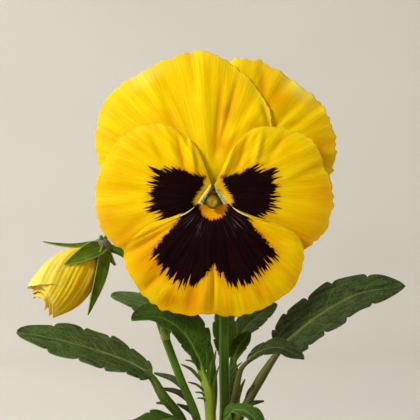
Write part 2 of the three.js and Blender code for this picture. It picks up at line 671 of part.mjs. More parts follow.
// A place on the furled bud: s along it, angle round it. Three rolled folds run along it in a
// spiral, and the lip at its mouth is uneven.
function onBud(s, angle, shrink = 1) {
  const turn = angle + BUD_TWIST * s;
  const fold = 1 + 0.07 * Math.cos(3 * turn) * smooth(s) + 0.16 * (s - 0.6) * Math.cos(angle);
  const radius = between(BUD_RADII, s) * fold * shrink;
  const ragged = 1 + 0.05 * s ** 4 * (Math.cos(2 * turn + 0.6) + Math.cos(5 * turn));
  const along = BUD_LENGTH * (BUD_START + (1 - BUD_START) * s) * ragged;
  return BUD_HUB.clone()
    .addScaledVector(budAxis, along)
    .addScaledVector(budSide, radius * Math.cos(angle))
    .addScaledVector(budFront, radius * Math.sin(angle));
}

function budPetals() {
  const rows = [[0, 1], [0.1, 1], [0.22, 1], [0.36, 1], [0.5, 1], [0.64, 1], [0.78, 1], [0.9, 1], [1, 1],
    [0.97, 0.78], [0.85, 0.5], [0.75, 0.2]];
  return solidOf(rings(rows.length, 20, (i, angle) => onBud(rows[i][0], angle, rows[i][1])));
}

// The bud's sepals by the places of their midribs, with half widths.
const BUD_SEPALS = [
  { points: [at(100, 244, 1), at(76, 244, 0), at(42.6, 241.7, -3)], halfWidth: 1.1, up: [0.1, -0.6, 0.8] },
  { points: [at(100, 247, -1), at(84, 254, -6.6), at(64.5, 264, -9.6)], halfWidth: 2.9, up: [-0.1, -1, 0.3] },
  { points: [at(105, 250, 0), at(100, 276, -4.5), at(88, 315, -6)], halfWidth: 2.1, up: [0.6, -0.8, 0] },
  { points: [at(101, 247, 4.5), at(86, 256, 9.8), at(68, 268, 12.5)], halfWidth: 2.6, up: [-0.1, 1, 0.3] },
  { points: [at(105, 251, 4), at(100, 276, 8.6), at(90, 300, 9.6)], halfWidth: 2.1, up: [0.6, 0.8, 0] },
];
const BUD_EARS = [at(101, 235.5, 0.5), at(106, 236, 4.5), at(115, 265, -2), at(113, 263, 6.5)];

function budCalyx() {
  const hub = rings(5, 8, (i, angle) => {
    const radius = [1.2, 2.7, 3.1, 2.4, 1.3][i];
    return BUD_HUB.clone()
      .addScaledVector(budAxis, [-2.6, -1.4, 0, 1.4, 2][i])
      .addScaledVector(budSide, radius * Math.cos(angle))
      .addScaledVector(budFront, radius * Math.sin(angle));
  });
  const sepals = BUD_SEPALS.map(({ points, halfWidth, up }) => {
    const facing = new THREE.Vector3(...up).normalize();
    const surface = bladeSurface({ midrib: points, halfWidth, facing: [facing, facing], outline: sepalOutline });
    return solidOf(sheet(surface, spaced(5, 0, 1), [-1, 0, 1], SEPAL_THICKNESS));
  });
  const ears = BUD_EARS.map((tip) => stalk([BUD_HUB, BUD_HUB.clone().lerp(tip, 0.6), tip], [1, 1.2, 0.4], 2, 5));
  return fuse([solidOf(hub), ...sepals, ...ears]);
}

function budStalk() {
  const end = at(114.5, 248.8, 2.4);
  const points = [
    at(197, 420, 0.5), at(181, 380, 1.5), at(165, 337, 2),
    at(150, 292, 3), at(137, 267, 3.6), at(126, 255, 3.4), at(118, 250.5, 2.8), end,
  ];
  const bracts = [[at(165, 337, 2), at(160.5, 326, -1)], [at(165, 337, 2), at(171, 327, 3.5)]]
    .map(([from, to]) => stalk([from, from.clone().lerp(to, 0.5), to], [1, 1.2, 0.3], 3, 6));
  const radius = BUD_STALK_RADIUS;
  addSocket(...BUD_STALK_FOOT, radius);
  return fuse([stalk(fromCrown(...BUD_STALK_FOOT, points), [radius, radius], 24, 7), ...bracts]);
}

// ---------------------------------------------------------------- the plant in its pot

const group = new THREE.Group();

function addNode(name, solid, material) {
  const mesh = new THREE.Mesh(geometryOf(solid), material);
  mesh.name = name;
  group.add(mesh);
}

addNode('pot', pot(), TERRACOTTA);
addNode('soil', soil(), SOIL_BROWN);
addNode('bloom_stalk', bloomStalk(), STALK_GREEN);
addNode('bud_stalk', budStalk(), STALK_GREEN);
for (const [name, { material, ...spec }] of Object.entries(LEAVES)) addNode(name, leaf(spec), material);
addNode('crown', crown(), STALK_GREEN);
for (const [name, spec] of Object.entries(PETALS)) addNode(name, petal(name, spec), spec.material);
addNode('bloom_calyx', bloomCalyx(), CALYX_GREEN);
addNode('pistil', pistil(), STIGMA_OLIVE);
addNode('anthers', anthers(), ANTHER_BROWN);
addNode('bud_petals', budPetals(), BUD_YELLOW);
addNode('bud_calyx', budCalyx(), CALYX_GREEN);

export default group;
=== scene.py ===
"""A potted pansy, dressed for its portrait: one open yellow bloom with a dark mask, a nodding bud,
toothed leaves with their stipules, potting soil and a terracotta pot.

Lengths are millimetres in the part's own frame, +Z up, with the origin at the centre of the pot's
foot and the bloom facing -Y. meshed() turns them into metres.
Every shape is a formula on a grid of two parameters, worked out as whole arrays.
"""
from collections import namedtuple
from functools import partialmethod

import bpy
import numpy as np
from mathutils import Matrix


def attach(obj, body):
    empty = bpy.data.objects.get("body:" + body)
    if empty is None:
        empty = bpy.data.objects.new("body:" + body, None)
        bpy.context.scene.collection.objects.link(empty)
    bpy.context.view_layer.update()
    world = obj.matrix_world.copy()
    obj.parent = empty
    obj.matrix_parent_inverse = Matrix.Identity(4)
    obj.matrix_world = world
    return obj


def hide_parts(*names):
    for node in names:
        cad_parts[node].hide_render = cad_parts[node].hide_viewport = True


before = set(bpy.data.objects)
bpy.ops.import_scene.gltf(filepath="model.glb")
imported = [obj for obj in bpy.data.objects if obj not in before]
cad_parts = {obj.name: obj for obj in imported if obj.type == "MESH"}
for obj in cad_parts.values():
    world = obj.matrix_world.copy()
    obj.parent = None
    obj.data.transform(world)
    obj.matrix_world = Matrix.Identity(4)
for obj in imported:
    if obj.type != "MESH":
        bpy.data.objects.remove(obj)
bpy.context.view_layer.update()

MM = 0.001

# ---------------------------------------------------------------- driving dimensions

POT_HEIGHT = 96
POT_RIM_RADIUS = 55
POT_FOOT_RADIUS = 37
POT_WALL = 4.5
POT_FLOOR = 6
COLLAR_HEIGHT = 22
DRAIN_RADIUS = 5
DRAIN_DISTANCE = 19
DRAIN_COUNT = 3
CLEARANCE = 0.3
SOIL_TOP = 87
SOIL_RELIEF = 0.9
SOIL_FALL = 2.5
CROWN_RADIUS = 9.5
CROWN_TOP = SOIL_TOP + 6
CROWN_FOOT = SOIL_TOP - 16
STALK_FOOT = SOIL_TOP - 7

BLOOM_WIDTH = 75
BLOOM_Y = -16
PETAL_LAYER = 2.2
PETAL_THICKNESS = 0.5
PETAL_RIM_THICKNESS = 0.14
THROAT_DEPTH = 3.2
PETAL_CURL = 5
CLAW_RADIUS = 2.9
RECEPTACLE_FRONT = 9.3
RECEPTACLE_BACK = 12.8
RECEPTACLE_RADIUS = 3.4
CLAW_DEPTH = RECEPTACLE_FRONT - CLEARANCE
STIGMA_RADIUS = 2.1
PISTIL_DROP = -0.4
BLOOM_STALK_RADIUS = 1.55
BUD_STALK_RADIUS = 1.3
STALK_RIBS = 0.07
BLOOM_STALK_FOOT = (20, 0.6)
BUD_STALK_FOOT = (180, 4.2)
LEAF_THICKNESS = 0.5
SEPAL_THICKNESS = 0.45

# The photograph gives places as pixels of its 420 x 420 frame.
FRAME_PX = 420
FRAME_MIDDLE_PX = FRAME_PX / 2
BLOOM_WIDTH_PX = 241
THROAT_PX = (213, 201)
MM_PER_PX = BLOOM_WIDTH / BLOOM_WIDTH_PX
VIEW_DISTANCE = 450
VIEW_AXIS_X = -1.9
FRAME_FOOT_ABOVE_SOIL = 25
VIEW_AXIS_Z = SOIL_TOP + FRAME_FOOT_ABOVE_SOIL + FRAME_MIDDLE_PX * MM_PER_PX


def stacked(*parts):
    """Numbers and arrays side by side as the last axis of one array."""
    return np.stack(np.broadcast_arrays(*parts), -1)


def at(px, py, y):
    """The place that pixel (px, py) shows at depth y: the view spreads in step with distance."""
    spread = MM_PER_PX * (1 + (y - BLOOM_Y) / VIEW_DISTANCE)
    return stacked(VIEW_AXIS_X + (px - FRAME_MIDDLE_PX) * spread, y,
                   VIEW_AXIS_Z + (FRAME_MIDDLE_PX - py) * spread)


THROAT = at(*THROAT_PX, BLOOM_Y)


def in_bloom(across, up, depth):
    """Throat plus across along X, up along Z and depth behind the face along Y."""
    return stacked(THROAT[0] + across, BLOOM_Y + depth, THROAT[2] + up)


def seen_in_bloom(across, up, depth):
    """in_bloom() for what the photograph measures: deeper places are spread by the view."""
    spread = 1 + depth / VIEW_DISTANCE
    return in_bloom(across * spread, up * spread, depth)


def round_bloom(direction, radius, depth, up=0.0):
    """in_bloom() by a direction in degrees and a distance from the bloom's axis, raised by up."""
    angle = np.radians(direction)
    return in_bloom(radius * np.cos(angle), radius * np.sin(angle) + up, depth)


def bloom_plane(pixels):
    """Pixels as millimetres across and up from the throat."""
    pixels = np.asarray(pixels, float)
    return stacked(pixels[..., 0] - THROAT_PX[0], THROAT_PX[1] - pixels[..., 1]) * MM_PER_PX


def on_crown(direction, distance, z):
    """A place by its direction in degrees, its distance from the pot's axis and its height."""
    angle = np.radians(direction)
    return stacked(distance * np.cos(angle), distance * np.sin(angle), z)


def above(x, y, height):
    """A place by its height above the soil."""
    return stacked(x, y, SOIL_TOP + height)


# ---------------------------------------------------------------- curves and small sums

def smooth(t):
    """3t^2 - 2t^3, with t kept from 0 to 1."""
    t = np.clip(t, 0, 1)
    return t * t * (3 - 2 * t)


def ramp(value, low, high):
    """smooth() of how far value is from low to high."""
    return smooth((value - low) / (high - low))


def blend(a, b, t):
    """a at t = 0, b at t = 1, in a straight line."""
    return a + (b - a) * t


def bell(distance, reach):
    """e^-(distance / reach)^2."""
    return np.exp(-(distance / reach) ** 2)


def length_of(vectors, keepdims=False):
    """Each vector's length along the last axis."""
    return np.linalg.norm(vectors, axis=-1, keepdims=keepdims)


def unit(vectors):
    """Each vector over its length."""
    return vectors / np.maximum(length_of(vectors, True), 1e-9)


def full_turn(count):
    """Even angles once round, without the last, which is the first again."""
    return np.linspace(0, 2 * np.pi, count, endpoint=False)


def spline(points, t):
    """Uniform Catmull-Rom curve by index through the points, its end points repeated."""
    points = np.asarray(points, float)
    last = len(points) - 1
    place = np.clip(t, 0, 1) * last
    i = np.minimum(place.astype(int), last - 1)
    w = (place - i)[..., None]
    p0, p1, p2, p3 = (points[np.clip(i + k, 0, last)] for k in (-1, 0, 1, 2))
    start, end = (p2 - p0) / 2, (p3 - p1) / 2
    return ((2 * p1 - 2 * p2 + start + end) * w ** 3
            + (-3 * p1 + 3 * p2 - 2 * start - end) * w ** 2 + start * w + p1)


def path_through(points, places, samples=600):
    """Centripetal Catmull-Rom curve through the points, read at places, shares of its length."""
    knots = np.asarray(points, float)
    ends = np.vstack([2 * knots[0] - knots[1], knots, 2 * knots[-1] - knots[-2]])
    u = np.linspace(0, len(knots) - 1, samples)
    i = np.minimum(u.astype(int), len(knots) - 2)
    w = (u - i)[:, None]
    p0, p1, p2, p3 = (ends[i + k] for k in range(4))
    d0, d1, d2 = (length_of(b - a, True) ** 0.5 for a, b in ((p0, p1), (p1, p2), (p2, p3)))
    m1 = ((p1 - p0) / d0 - (p2 - p0) / (d0 + d1) + (p2 - p1) / d1) * d1
    m2 = ((p2 - p1) / d1 - (p3 - p1) / (d1 + d2) + (p3 - p2) / d2) * d1
    line = ((2 * w ** 3 - 3 * w ** 2 + 1) * p1 + (w ** 3 - 2 * w ** 2 + w) * m1
            + (-2 * w ** 3 + 3 * w ** 2) * p2 + (w ** 3 - w ** 2) * m2)
    length = np.concatenate([[0], np.cumsum(length_of(np.diff(line, axis=0)))])
    places = np.clip(places, 0, 1) * length[-1]
    return stacked(*(np.interp(places, length, line[:, k]) for k in range(3)))


def stepped(values, t):
    """A number between neighbouring entries of a list, for t from 0 to 1."""
    return np.interp(t, np.linspace(0, 1, len(values)), values)


def ripple(x, lowest, highest, seed, count=7, closed=False):
    """A sum of sines of x with drawn frequencies and phases, about 1 high. Uneven but smooth, and
    the same after a full turn where it is closed."""
    draw = np.random.default_rng(seed)
    frequencies = draw.uniform(lowest, highest, count)
    if closed:
        frequencies = np.round(frequencies)
    phases = draw.uniform(0, 2 * np.pi, count)
    return sum(np.sin(f * x + p) for f, p in zip(frequencies, phases)) / count ** 0.5


def signed_distance(points, outline):
    """Distance of each point to a closed outline, negative inside it.

    The nearest place on every edge is found for all points at once, and a point is inside when a
    ray from it crosses the outline an odd number of times.
    """
    flat = points.reshape(-1, 1, 2)
    a, b = outline, np.roll(outline, -1, 0)
    edge = b - a
    share = np.clip(((flat - a) * edge).sum(-1) / (edge ** 2).sum(-1), 0, 1)
    distance = length_of(flat - a - share[..., None] * edge).min(1)
    crosses = (flat[..., 1] < a[:, 1]) != (flat[..., 1] < b[:, 1])
    rise = np.where(np.abs(edge[:, 1]) < 1e-9, 1e-9, edge[:, 1])
    ahead = flat[..., 0] < a[:, 0] + (flat[..., 1] - a[:, 1]) / rise * edge[:, 0]
    inside = (crosses & ahead).sum(1) % 2 == 1
    return np.where(inside, -distance, distance).reshape(points.shape[:-1])


# ---------------------------------------------------------------- meshes from grids

# One surface: its points, its faces as quads and triangles, the marks that a material reads back by
# name, a row of numbers for each point, and which of the piece's finishes it has.
Patch = namedtuple("Patch", "points quads triangles marks finish")
NO_TRIANGLES = np.zeros((0, 3), int)


def grid_quads(rows, columns, closed=False):
    """Corners of the grid's cells, as seen from the side of (along rows) x (along columns)."""
    cells = columns if closed else columns - 1
    i, j = np.meshgrid(np.arange(rows - 1), np.arange(cells), indexing="ij")
    a, b = i * columns + j, i * columns + (j + 1) % columns
    return stacked(a, a + columns, b + columns, b).reshape(-1, 4)


def sheet(middle, thickness, marks):
    """A closed sheet: the middle grid is lifted by half the thickness to both sides along its
    normals, and the two faces are joined by a wall along the grid's border. The mark face is 1 on
    the side that the normals point to, a petal's front and a blade's underside, and 0 on the other."""
    rows, columns = middle.shape[:2]
    count = rows * columns
    normal = unit(np.cross(np.gradient(middle, axis=0), np.gradient(middle, axis=1)))
    half = normal * (thickness / 2)[..., None]
    front = grid_quads(rows, columns)
    index = np.arange(count).reshape(rows, columns)
    border = np.concatenate([index[0, :-1], index[:-1, -1], index[-1, :0:-1], index[:0:-1, 0]])
    ahead = np.roll(border, -1)
    wall = stacked(border, ahead, ahead + count, border + count)
    points = np.concatenate([(middle + half).reshape(-1, 3), (middle - half).reshape(-1, 3)])
    doubled = {name: np.concatenate([mark.reshape(count, -1)] * 2) for name, mark in marks.items()}
    doubled["face"] = np.repeat([1.0, 0.0], count)[:, None]
    quads = np.concatenate([front, front[:, ::-1] + count, wall])
    return Patch(points, quads, NO_TRIANGLES, doubled, 0)


def tubes(rings, poles):
    """Many closed bodies as one patch, each a grid of rings that go round once, with a pole at both
    ends. The rings are numbered by body, ring and side."""
    count, rows, sides = rings.shape[:3]
    foot = rows * sides
    last = foot - sides
    k = np.arange(sides)
    after = (k + 1) % sides
    quads = grid_quads(rows, sides, closed=True)[:, ::-1]
    caps = np.concatenate([stacked(foot, after, k), stacked(foot + 1, last + k, last + after)])
    starts = (np.arange(count) * (foot + 2))[:, None, None]
    points = np.concatenate([rings.reshape(count, foot, 3), poles], 1)
    return Patch(points.reshape(-1, 3), (quads + starts).reshape(-1, 4), (caps + starts).reshape(-1, 3),
                 {}, 0)


def tube(rings, place, finish=0):
    """One closed body. Its poles, and their place mark, are the means of its end rings."""
    poles = rings[[0, -1]].mean(1)
    marks = np.concatenate([place.reshape(-1, 3), place[[0, -1]].mean(1)])
    return tubes(rings[None], poles[None])._replace(marks={"place": marks}, finish=finish)


def carried_frames(path):
    """Two directions square to the path at each place, turned as little as possible on the way."""
    tangents = unit(np.gradient(path, axis=0))
    normals = [unit(np.cross(tangents[0], [0.31, 1, 0.12]))]
    for tangent in tangents[1:]:
        normals.append(unit(normals[-1] - tangent * (normals[-1] @ tangent)))
    normals = np.array(normals)
    return normals, np.cross(tangents, normals)


def stem(points, radii, steps, sides, ribs=0.0, rib_count=5, flat=1.0):
    """A profile carried along a smooth path: the radius follows radii, and a cosine round the
    section gives it long ribs. flat below 1 narrows it in its second direction."""
    t = np.linspace(0, 1, steps + 1)
    path = path_through(points, t)
    normals, binormals = carried_frames(path)
    angle = full_turn(sides)
    radius = stepped(radii, t)[:, None] * (1 + ribs * np.cos(rib_count * angle))
    rings = (path[:, None] + normals[:, None] * (radius * np.cos(angle))[..., None]
             + binormals[:, None] * (radius * np.sin(angle) * flat)[..., None])
    length = length_of(np.diff(path, axis=0)).sum()
    return tube(rings, stacked(t[:, None] * length, np.cos(angle), np.sin(angle)))


def turned(profile, sides, centre=(0, 0, 0), axis="Z", finish=0, relief=None):
    """A profile of radius and height pairs turned once round an upright axis, or round Y. relief
    changes the radii and heights at each angle."""
    profile = np.asarray(profile, float)[:, None]
    angle = full_turn(sides)
    radius, height, angle = np.broadcast_arrays(profile[..., 0], profile[..., 1], angle)
    if relief is not None:
        radius, height = relief(radius, height, angle)
    x, y = radius * np.cos(angle), radius * np.sin(angle)
    rings = (stacked(x, y, height) if axis == "Z" else stacked(x, height, -y)) + centre
    return tube(rings, stacked(radius, height, angle), finish)


def meshed(name, patches, materials):
    """The patches as one named mesh in metres, with the materials that their finishes number. A
    mark that a patch lacks is 0 there."""
    starts = np.cumsum([0] + [len(patch.points) for patch in patches])
    points = np.concatenate([patch.points for patch in patches])
    quads = np.concatenate([patch.quads + start for patch, start in zip(patches, starts)])
    triangles = np.concatenate([patch.triangles + start for patch, start in zip(patches, starts)])
    sizes = np.repeat([4, 3], [len(quads), len(triangles)])
    finishes = np.concatenate([np.full(len(getattr(patch, faces)), patch.finish)
                               for faces in ("quads", "triangles") for patch in patches])
    mesh = bpy.data.meshes.new(name)
    mesh.vertices.add(len(points))
    mesh.vertices.foreach_set("co", (points * MM).astype(np.float32).ravel())
    mesh.loops.add(sizes.sum())
    mesh.polygons.add(len(sizes))
    corners = np.concatenate([quads.ravel(), triangles.ravel()])
    for elements, key, values in ((mesh.loops, "vertex_index", corners),
                                  (mesh.polygons, "loop_start", np.cumsum(sizes) - sizes),
                                  (mesh.polygons, "material_index", finishes)):
        elements.foreach_set(key, values.astype(np.int32))
    mesh.polygons.foreach_set("use_smooth", np.ones(len(sizes), bool))
    for mark in sorted(set().union(*(patch.marks for patch in patches))):
        width = max(patch.marks[mark].shape[1] for patch in patches if mark in patch.marks)
        values = np.concatenate([patch.marks.get(mark, np.zeros((len(patch.points), width)))
                                 for patch in patches])
        kind, field = ("FLOAT_VECTOR", "vector") if width == 3 else ("FLOAT", "value")
        layer = mesh.attributes.new(mark, kind, "POINT")
        layer.data.foreach_set(field, values.astype(np.float32).ravel())
    mesh.update(calc_edges=True)
    mesh.validate()
    for material in materials:
        mesh.materials.append(material)
    piece = bpy.data.objects.new(name, mesh)
    bpy.context.scene.collection.objects.link(piece)
    return piece


def solid_piece(name, patches, materials):
    """A piece of the plant or its pot. It replaces the CAD node that its name starts with."""
    piece = meshed(name, patches, materials)
    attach(piece, "root")
    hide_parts(name.split(".")[0])
    return piece


# ---------------------------------------------------------------- shader maths

def linear(colour):
    """An sRGB colour of 0 to 255 as the linear colour that a shader takes."""
    share = np.array(colour) / 255
    return (*np.where(share <= 0.04045, share / 12.92, ((share + 0.055) / 1.055) ** 2.4), 1.0)


class Value:
    """A socket of a material's nodes. Sums on it add Math nodes. size() drops its sign, and
    wave(span) runs up and down between 0 and span."""

    def __init__(self, finish, socket):
        self.finish = finish
        self.socket = socket

    def maths(self, operation, *others, reflected=False):
        """A Math node on this value and others. This value comes last where it is reflected."""
        node = self.finish.nodes.new("ShaderNodeMath")
        node.operation = operation
        values = (*others, self) if reflected else (self, *others)
        for socket, value in zip(node.inputs, values):
            self.finish.feed(socket, value)
        return Value(self.finish, node.outputs[0])

    __add__ = partialmethod(maths, "ADD")
    __radd__ = partialmethod(maths, "ADD")
    __sub__ = partialmethod(maths, "SUBTRACT")
    __rsub__ = partialmethod(maths, "SUBTRACT", reflected=True)
    __mul__ = partialmethod(maths, "MULTIPLY")
    __rmul__ = partialmethod(maths, "MULTIPLY")
    __pow__ = partialmethod(maths, "POWER")
    size = partialmethod(maths, "ABSOLUTE")
    wave = partialmethod(maths, "PINGPONG")

    def step(self, low, high):
        """0 below low, 1 above high, smooth between. low may be above high."""
        return self.finish.add("ShaderNodeMapRange", {"interpolation_type": "SMOOTHSTEP"},
                               Value=self, **{"From Min": low, "From Max": high})["Result"]


class Finish:
    """One procedural material: a Principled shader, the nodes that feed it, and the tone so far.

    gloss is its specular level, scatter the share of light that passes through the flesh, and
    depth_mm how deep that light goes. A colour is three numbers of 0 to 255.
    """

    def __init__(self, name, gloss, scatter=0.0, depth_mm=1.0):
        self.material = bpy.data.materials.new(name)
        self.material.use_nodes = True
        tree = self.material.node_tree
        self.nodes, self.links = tree.nodes, tree.links
        self.shader = self.nodes["Principled BSDF"]
        self.shader.inputs["Specular IOR Level"].default_value = gloss
        if scatter:
            self.shader.inputs["Subsurface Weight"].default_value = scatter
            self.shader.inputs["Subsurface Scale"].default_value = depth_mm * MM
        self.tone = None

    def feed(self, socket, value):
        """Links a value to a socket, or sets a colour or a number on it."""
        if isinstance(value, Value):
            self.links.new(value.socket, socket)
        elif value is not None:
            socket.default_value = linear(value) if isinstance(value, tuple) else value

    def add(self, kind, settings=None, **inputs):
        """Any node: its settings first, then the values or links of its sockets in use by name.
        Gives its outputs in use by name."""
        node = self.nodes.new(kind)
        for key, value in (settings or {}).items():
            setattr(node, key, value)
        sockets = {socket.name: socket for socket in reversed(node.inputs) if socket.enabled}
        for name, value in inputs.items():
            self.feed(sockets[name], value)
        return {socket.name: Value(self, socket) for socket in node.outputs if socket.enabled}

    def mark(self, name, output="Fac"):
        """What the piece's mesh carries at each point under this name."""
        return self.add("ShaderNodeAttribute", {"attribute_name": name})[output]

    def parts(self, vector):
        """A vector's three numbers."""
        split = self.add("ShaderNodeSeparateXYZ", Vector=vector)
        return split["X"], split["Y"], split["Z"]

    def surface(self):
        """The three numbers of the mesh's own place mark."""
        return self.parts(self.mark("place", "Vector"))

    def place(self):
        """Object coordinates in millimetres."""
        raw = self.add("ShaderNodeTexCoord")["Object"]
        return self.add("ShaderNodeVectorMath", {"operation": "SCALE"}, Vector=raw, Scale=1 / MM)["Vector"]

    def joined(self, x, y, z=0.0):
        """Three numbers as a vector."""
        return self.add("ShaderNodeCombineXYZ", X=x, Y=y, Z=z)["Vector"]

    def noise(self, vector, scale=1.0, detail=3.0, roughness=0.55):
        """Clouded numbers from 0 to 1, finer with a higher scale."""
        return self.add("ShaderNodeTexNoise", Vector=vector, Scale=scale, Detail=detail,
                        Roughness=roughness)["Fac"]

    def mixed(self, share, low, high):
        """low where share is 0, high where it is 1. Both are colours."""
        return self.add("ShaderNodeMix", {"data_type": "RGBA"}, Factor=share, A=low, B=high)["Result"]

    def wash(self, share, colour):
        """Lays a colour over the tone so far, by its share."""
        self.tone = self.mixed(share, self.tone, colour)

    def bump(self, height, distance_mm, strength=1.0):
        """The normal of a surface raised by distance_mm where the height is 1."""
        return self.add("ShaderNodeBump", Height=height, Distance=distance_mm * MM,
                        Strength=strength)["Normal"]

    def paint(self, roughness=None, normal=None):
        """Feeds the shader and gives the finished material."""
        for name, value in (("Base Color", self.tone), ("Roughness", roughness), ("Normal", normal)):
            self.feed(self.shader.inputs[name], value)
        return self.material


# ---------------------------------------------------------------- petals

def petal_finish(name, deep, clear, pale, ochre_shade_and_halo, throat, throat_reach, spike_rate=1.0):
    """Fine veins fan out along the petal, the mask ends in spikes along them, and the colour goes
    from the throat's tint through deep and clear yellow to a paler edge. Painted shade in ochre lies
    in the folds and on given spots, the same ochre rings the mask as its own colour, and the rim has
    painted highlights where it curls."""
    finish = Finish(name, 0.05, 0.08)
    out, across, radius = finish.surface()
    mask_edge = finish.mark("mask")
    streaks = finish.noise(finish.joined(across * 17.0, out * 1.6), detail=4.0, roughness=0.6)
    fine = finish.noise(finish.joined(across * 62.0, out * 3.0), roughness=0.6)
    cloud = finish.noise(finish.place(), 0.09)
    finish.tone = finish.mixed((streaks * 0.75 + cloud * 0.45 + fine * 0.8 - 0.5).step(0.2, 0.8), deep, clear)
    # Painted shade: ochre in the folds (hollow) and on the painted shade spots (shade).
    finish.wash(finish.mark("hollow").step(0.0, 1.0) * 0.6, ochre_shade_and_halo)
    finish.wash(finish.mark("shade") * (streaks * 1.6 + fine * 0.8 + cloud * 0.6 - 0.75), ochre_shade_and_halo)
    finish.wash(radius.step(throat_reach, throat_reach * 0.35) * (0.62 + 0.5 * fine), throat)
    # The mask's own orange halo, in the same ochre.
    finish.wash(mask_edge.step(3.6, 0.2) * 0.45, ochre_shade_and_halo)
    # A slightly paler edge all round, and a painted highlight where the curled rims catch the light.
    finish.wash(finish.mark("rim") * (0.4 + streaks * 0.9), pale)

    # The mask's edge in millimetres: long spikes where it crosses the fan, ragged beside it, and
    # fine ones near the throat.
    far = radius.step(6.5, 11.0)
    along_fan = finish.mark("along_fan")
    near_spikes = finish.noise(finish.joined(across * 24.0, out * 3.0), detail=1.0, roughness=0.5)
    spikes = finish.noise(finish.joined(across * (34.0 * spike_rate), out * 2.6), detail=1.0, roughness=0.4)
    barbs = finish.noise(finish.joined(across * (92.0 * spike_rate), out * 4.0), detail=1.0, roughness=0.5)
    long_spikes = ((spikes - 0.5) * 2.6 + (barbs - 0.5) * 3.2) * (1.1 + radius.step(9.0, 16.0) * 1.5)
    ragged = (finish.noise(finish.place(), 1.1, 2.0, 0.6) - 0.5) * 2.6
    edge = (mask_edge + far * (along_fan * long_spikes + (1 - along_fan) * ragged)
            + (1 - far) * (near_spikes - 0.5) * 2.4 + 0.1)

    # The mask only shows through on the back of a petal.
    back = 1 - finish.mark("face")
    finish.wash(edge.step(0.8, 0.05) * (0.75 - back * 0.6), (120, 44, 4))
    velvet = finish.mixed((fine * 1.2 + streaks * 0.6 - 0.5).step(0.2, 0.8), (4, 0, 1), (42, 3, 6))
    velvet = finish.mixed(finish.mark("hairs") * fine.step(0.56, 0.64) * 0.42, velvet, (190, 160, 165))
    finish.wash(edge.step(0.12, -0.12) * (1 - back * 0.78), velvet)
    grain = finish.noise(finish.place(), 3.2, 2.0)
    height = fine * 0.7 + streaks * 0.5 + grain * 0.16
    return finish.paint(0.56 + grain * 0.1, finish.bump(height, 0.3, 0.75))


def face_depth(radius):
    """A hollow at the throat, THROAT_DEPTH e^((3 - r) / 3.5), plus the curl back to the edge."""
    return THROAT_DEPTH * np.exp((3 - radius) / 3.5) + PETAL_CURL * (radius / 38) ** 2.5


def crease(places, x0, y0, x1, y1, width, depth):
    """A fold along a straight line of the photograph: a bell across it, fading at both ends."""
    a, b = bloom_plane((x0, y0)), bloom_plane((x1, y1))
    along = b - a
    share = np.clip(((places - a) @ along) / (along @ along), 0, 1)
    distance = length_of(places - a - share[..., None] * along)
    return depth * bell(distance, width * MM_PER_PX) * np.sin(np.pi * (0.12 + 0.76 * share))


def near_spots(places, spots):
    """The sum of round bells over spots of the photograph, each x, y and reach in pixels."""
    return sum(bell(length_of(places - bloom_plane((x, y))), reach * MM_PER_PX) for x, y, reach in spots)


# The dark mask's outline on the petals that have one, in pixels, and the eye that is cut out of it.
MASKS = {
    "petal_side_left": [
        (205.5, 176), (202, 187), (196.5, 194), (193, 202), (195, 210), (182, 220), (168, 221.5),
        (158, 213.5), (150.5, 206), (152.5, 191), (155, 172), (165, 170), (176, 168), (191.5, 173.5)],
    "petal_side_right": [
        (222, 176.5), (226, 187), (231, 194), (233.5, 202), (231, 210), (243, 219), (256, 221.5),
        (266.5, 213.5), (274, 206.5), (275, 192), (273, 172), (263.5, 170), (251.5, 168), (237.5, 174)],
    "petal_lower": [
        (198, 203), (185, 208), (180, 218), (175, 225), (168, 233), (160, 242), (153, 254), (163, 267),
        (173, 279), (186, 284.6), (199, 282), (206, 274), (213.5, 264.7), (221, 274), (234, 285.4),
        (252.5, 280.5), (266, 269), (275.7, 254), (268, 243), (260, 234), (252.5, 226), (248.5, 218),
        (243, 208), (230, 203), (214, 198)],
}
EYE_PX = (213.5, 206)
EYE_RADIUS_PX = 14
NO_MASK = 9.0

# Spots of the photograph with their reach in pixels: where the curled rim gets a painted highlight, and where
# the mask has hairs.
RIM_HIGHLIGHT_SPOTS = [(150, 84, 16), (302, 86, 16)]
HAIR_SPOTS = [(195, 226, 8), (236, 226, 8)]

# Painted shade: where a petal is a deeper, ochre yellow because it lies in shade, as spots of the same kind.
PAINTED_SHADE_SPOTS = {
    "petal_upper_left": [(227, 112, 10), (222, 145, 8), (258, 128, 8)],
    "petal_upper_right": [(274, 98, 15), (320, 150, 16)],
    "petal_side_left": [(128, 240, 24), (105, 215, 12)],
    "petal_side_right": [(300, 242, 28), (326, 195, 16), (270, 240, 14)],
    "petal_lower": [(150, 262, 18), (194, 302, 17), (168, 300, 10)],
}

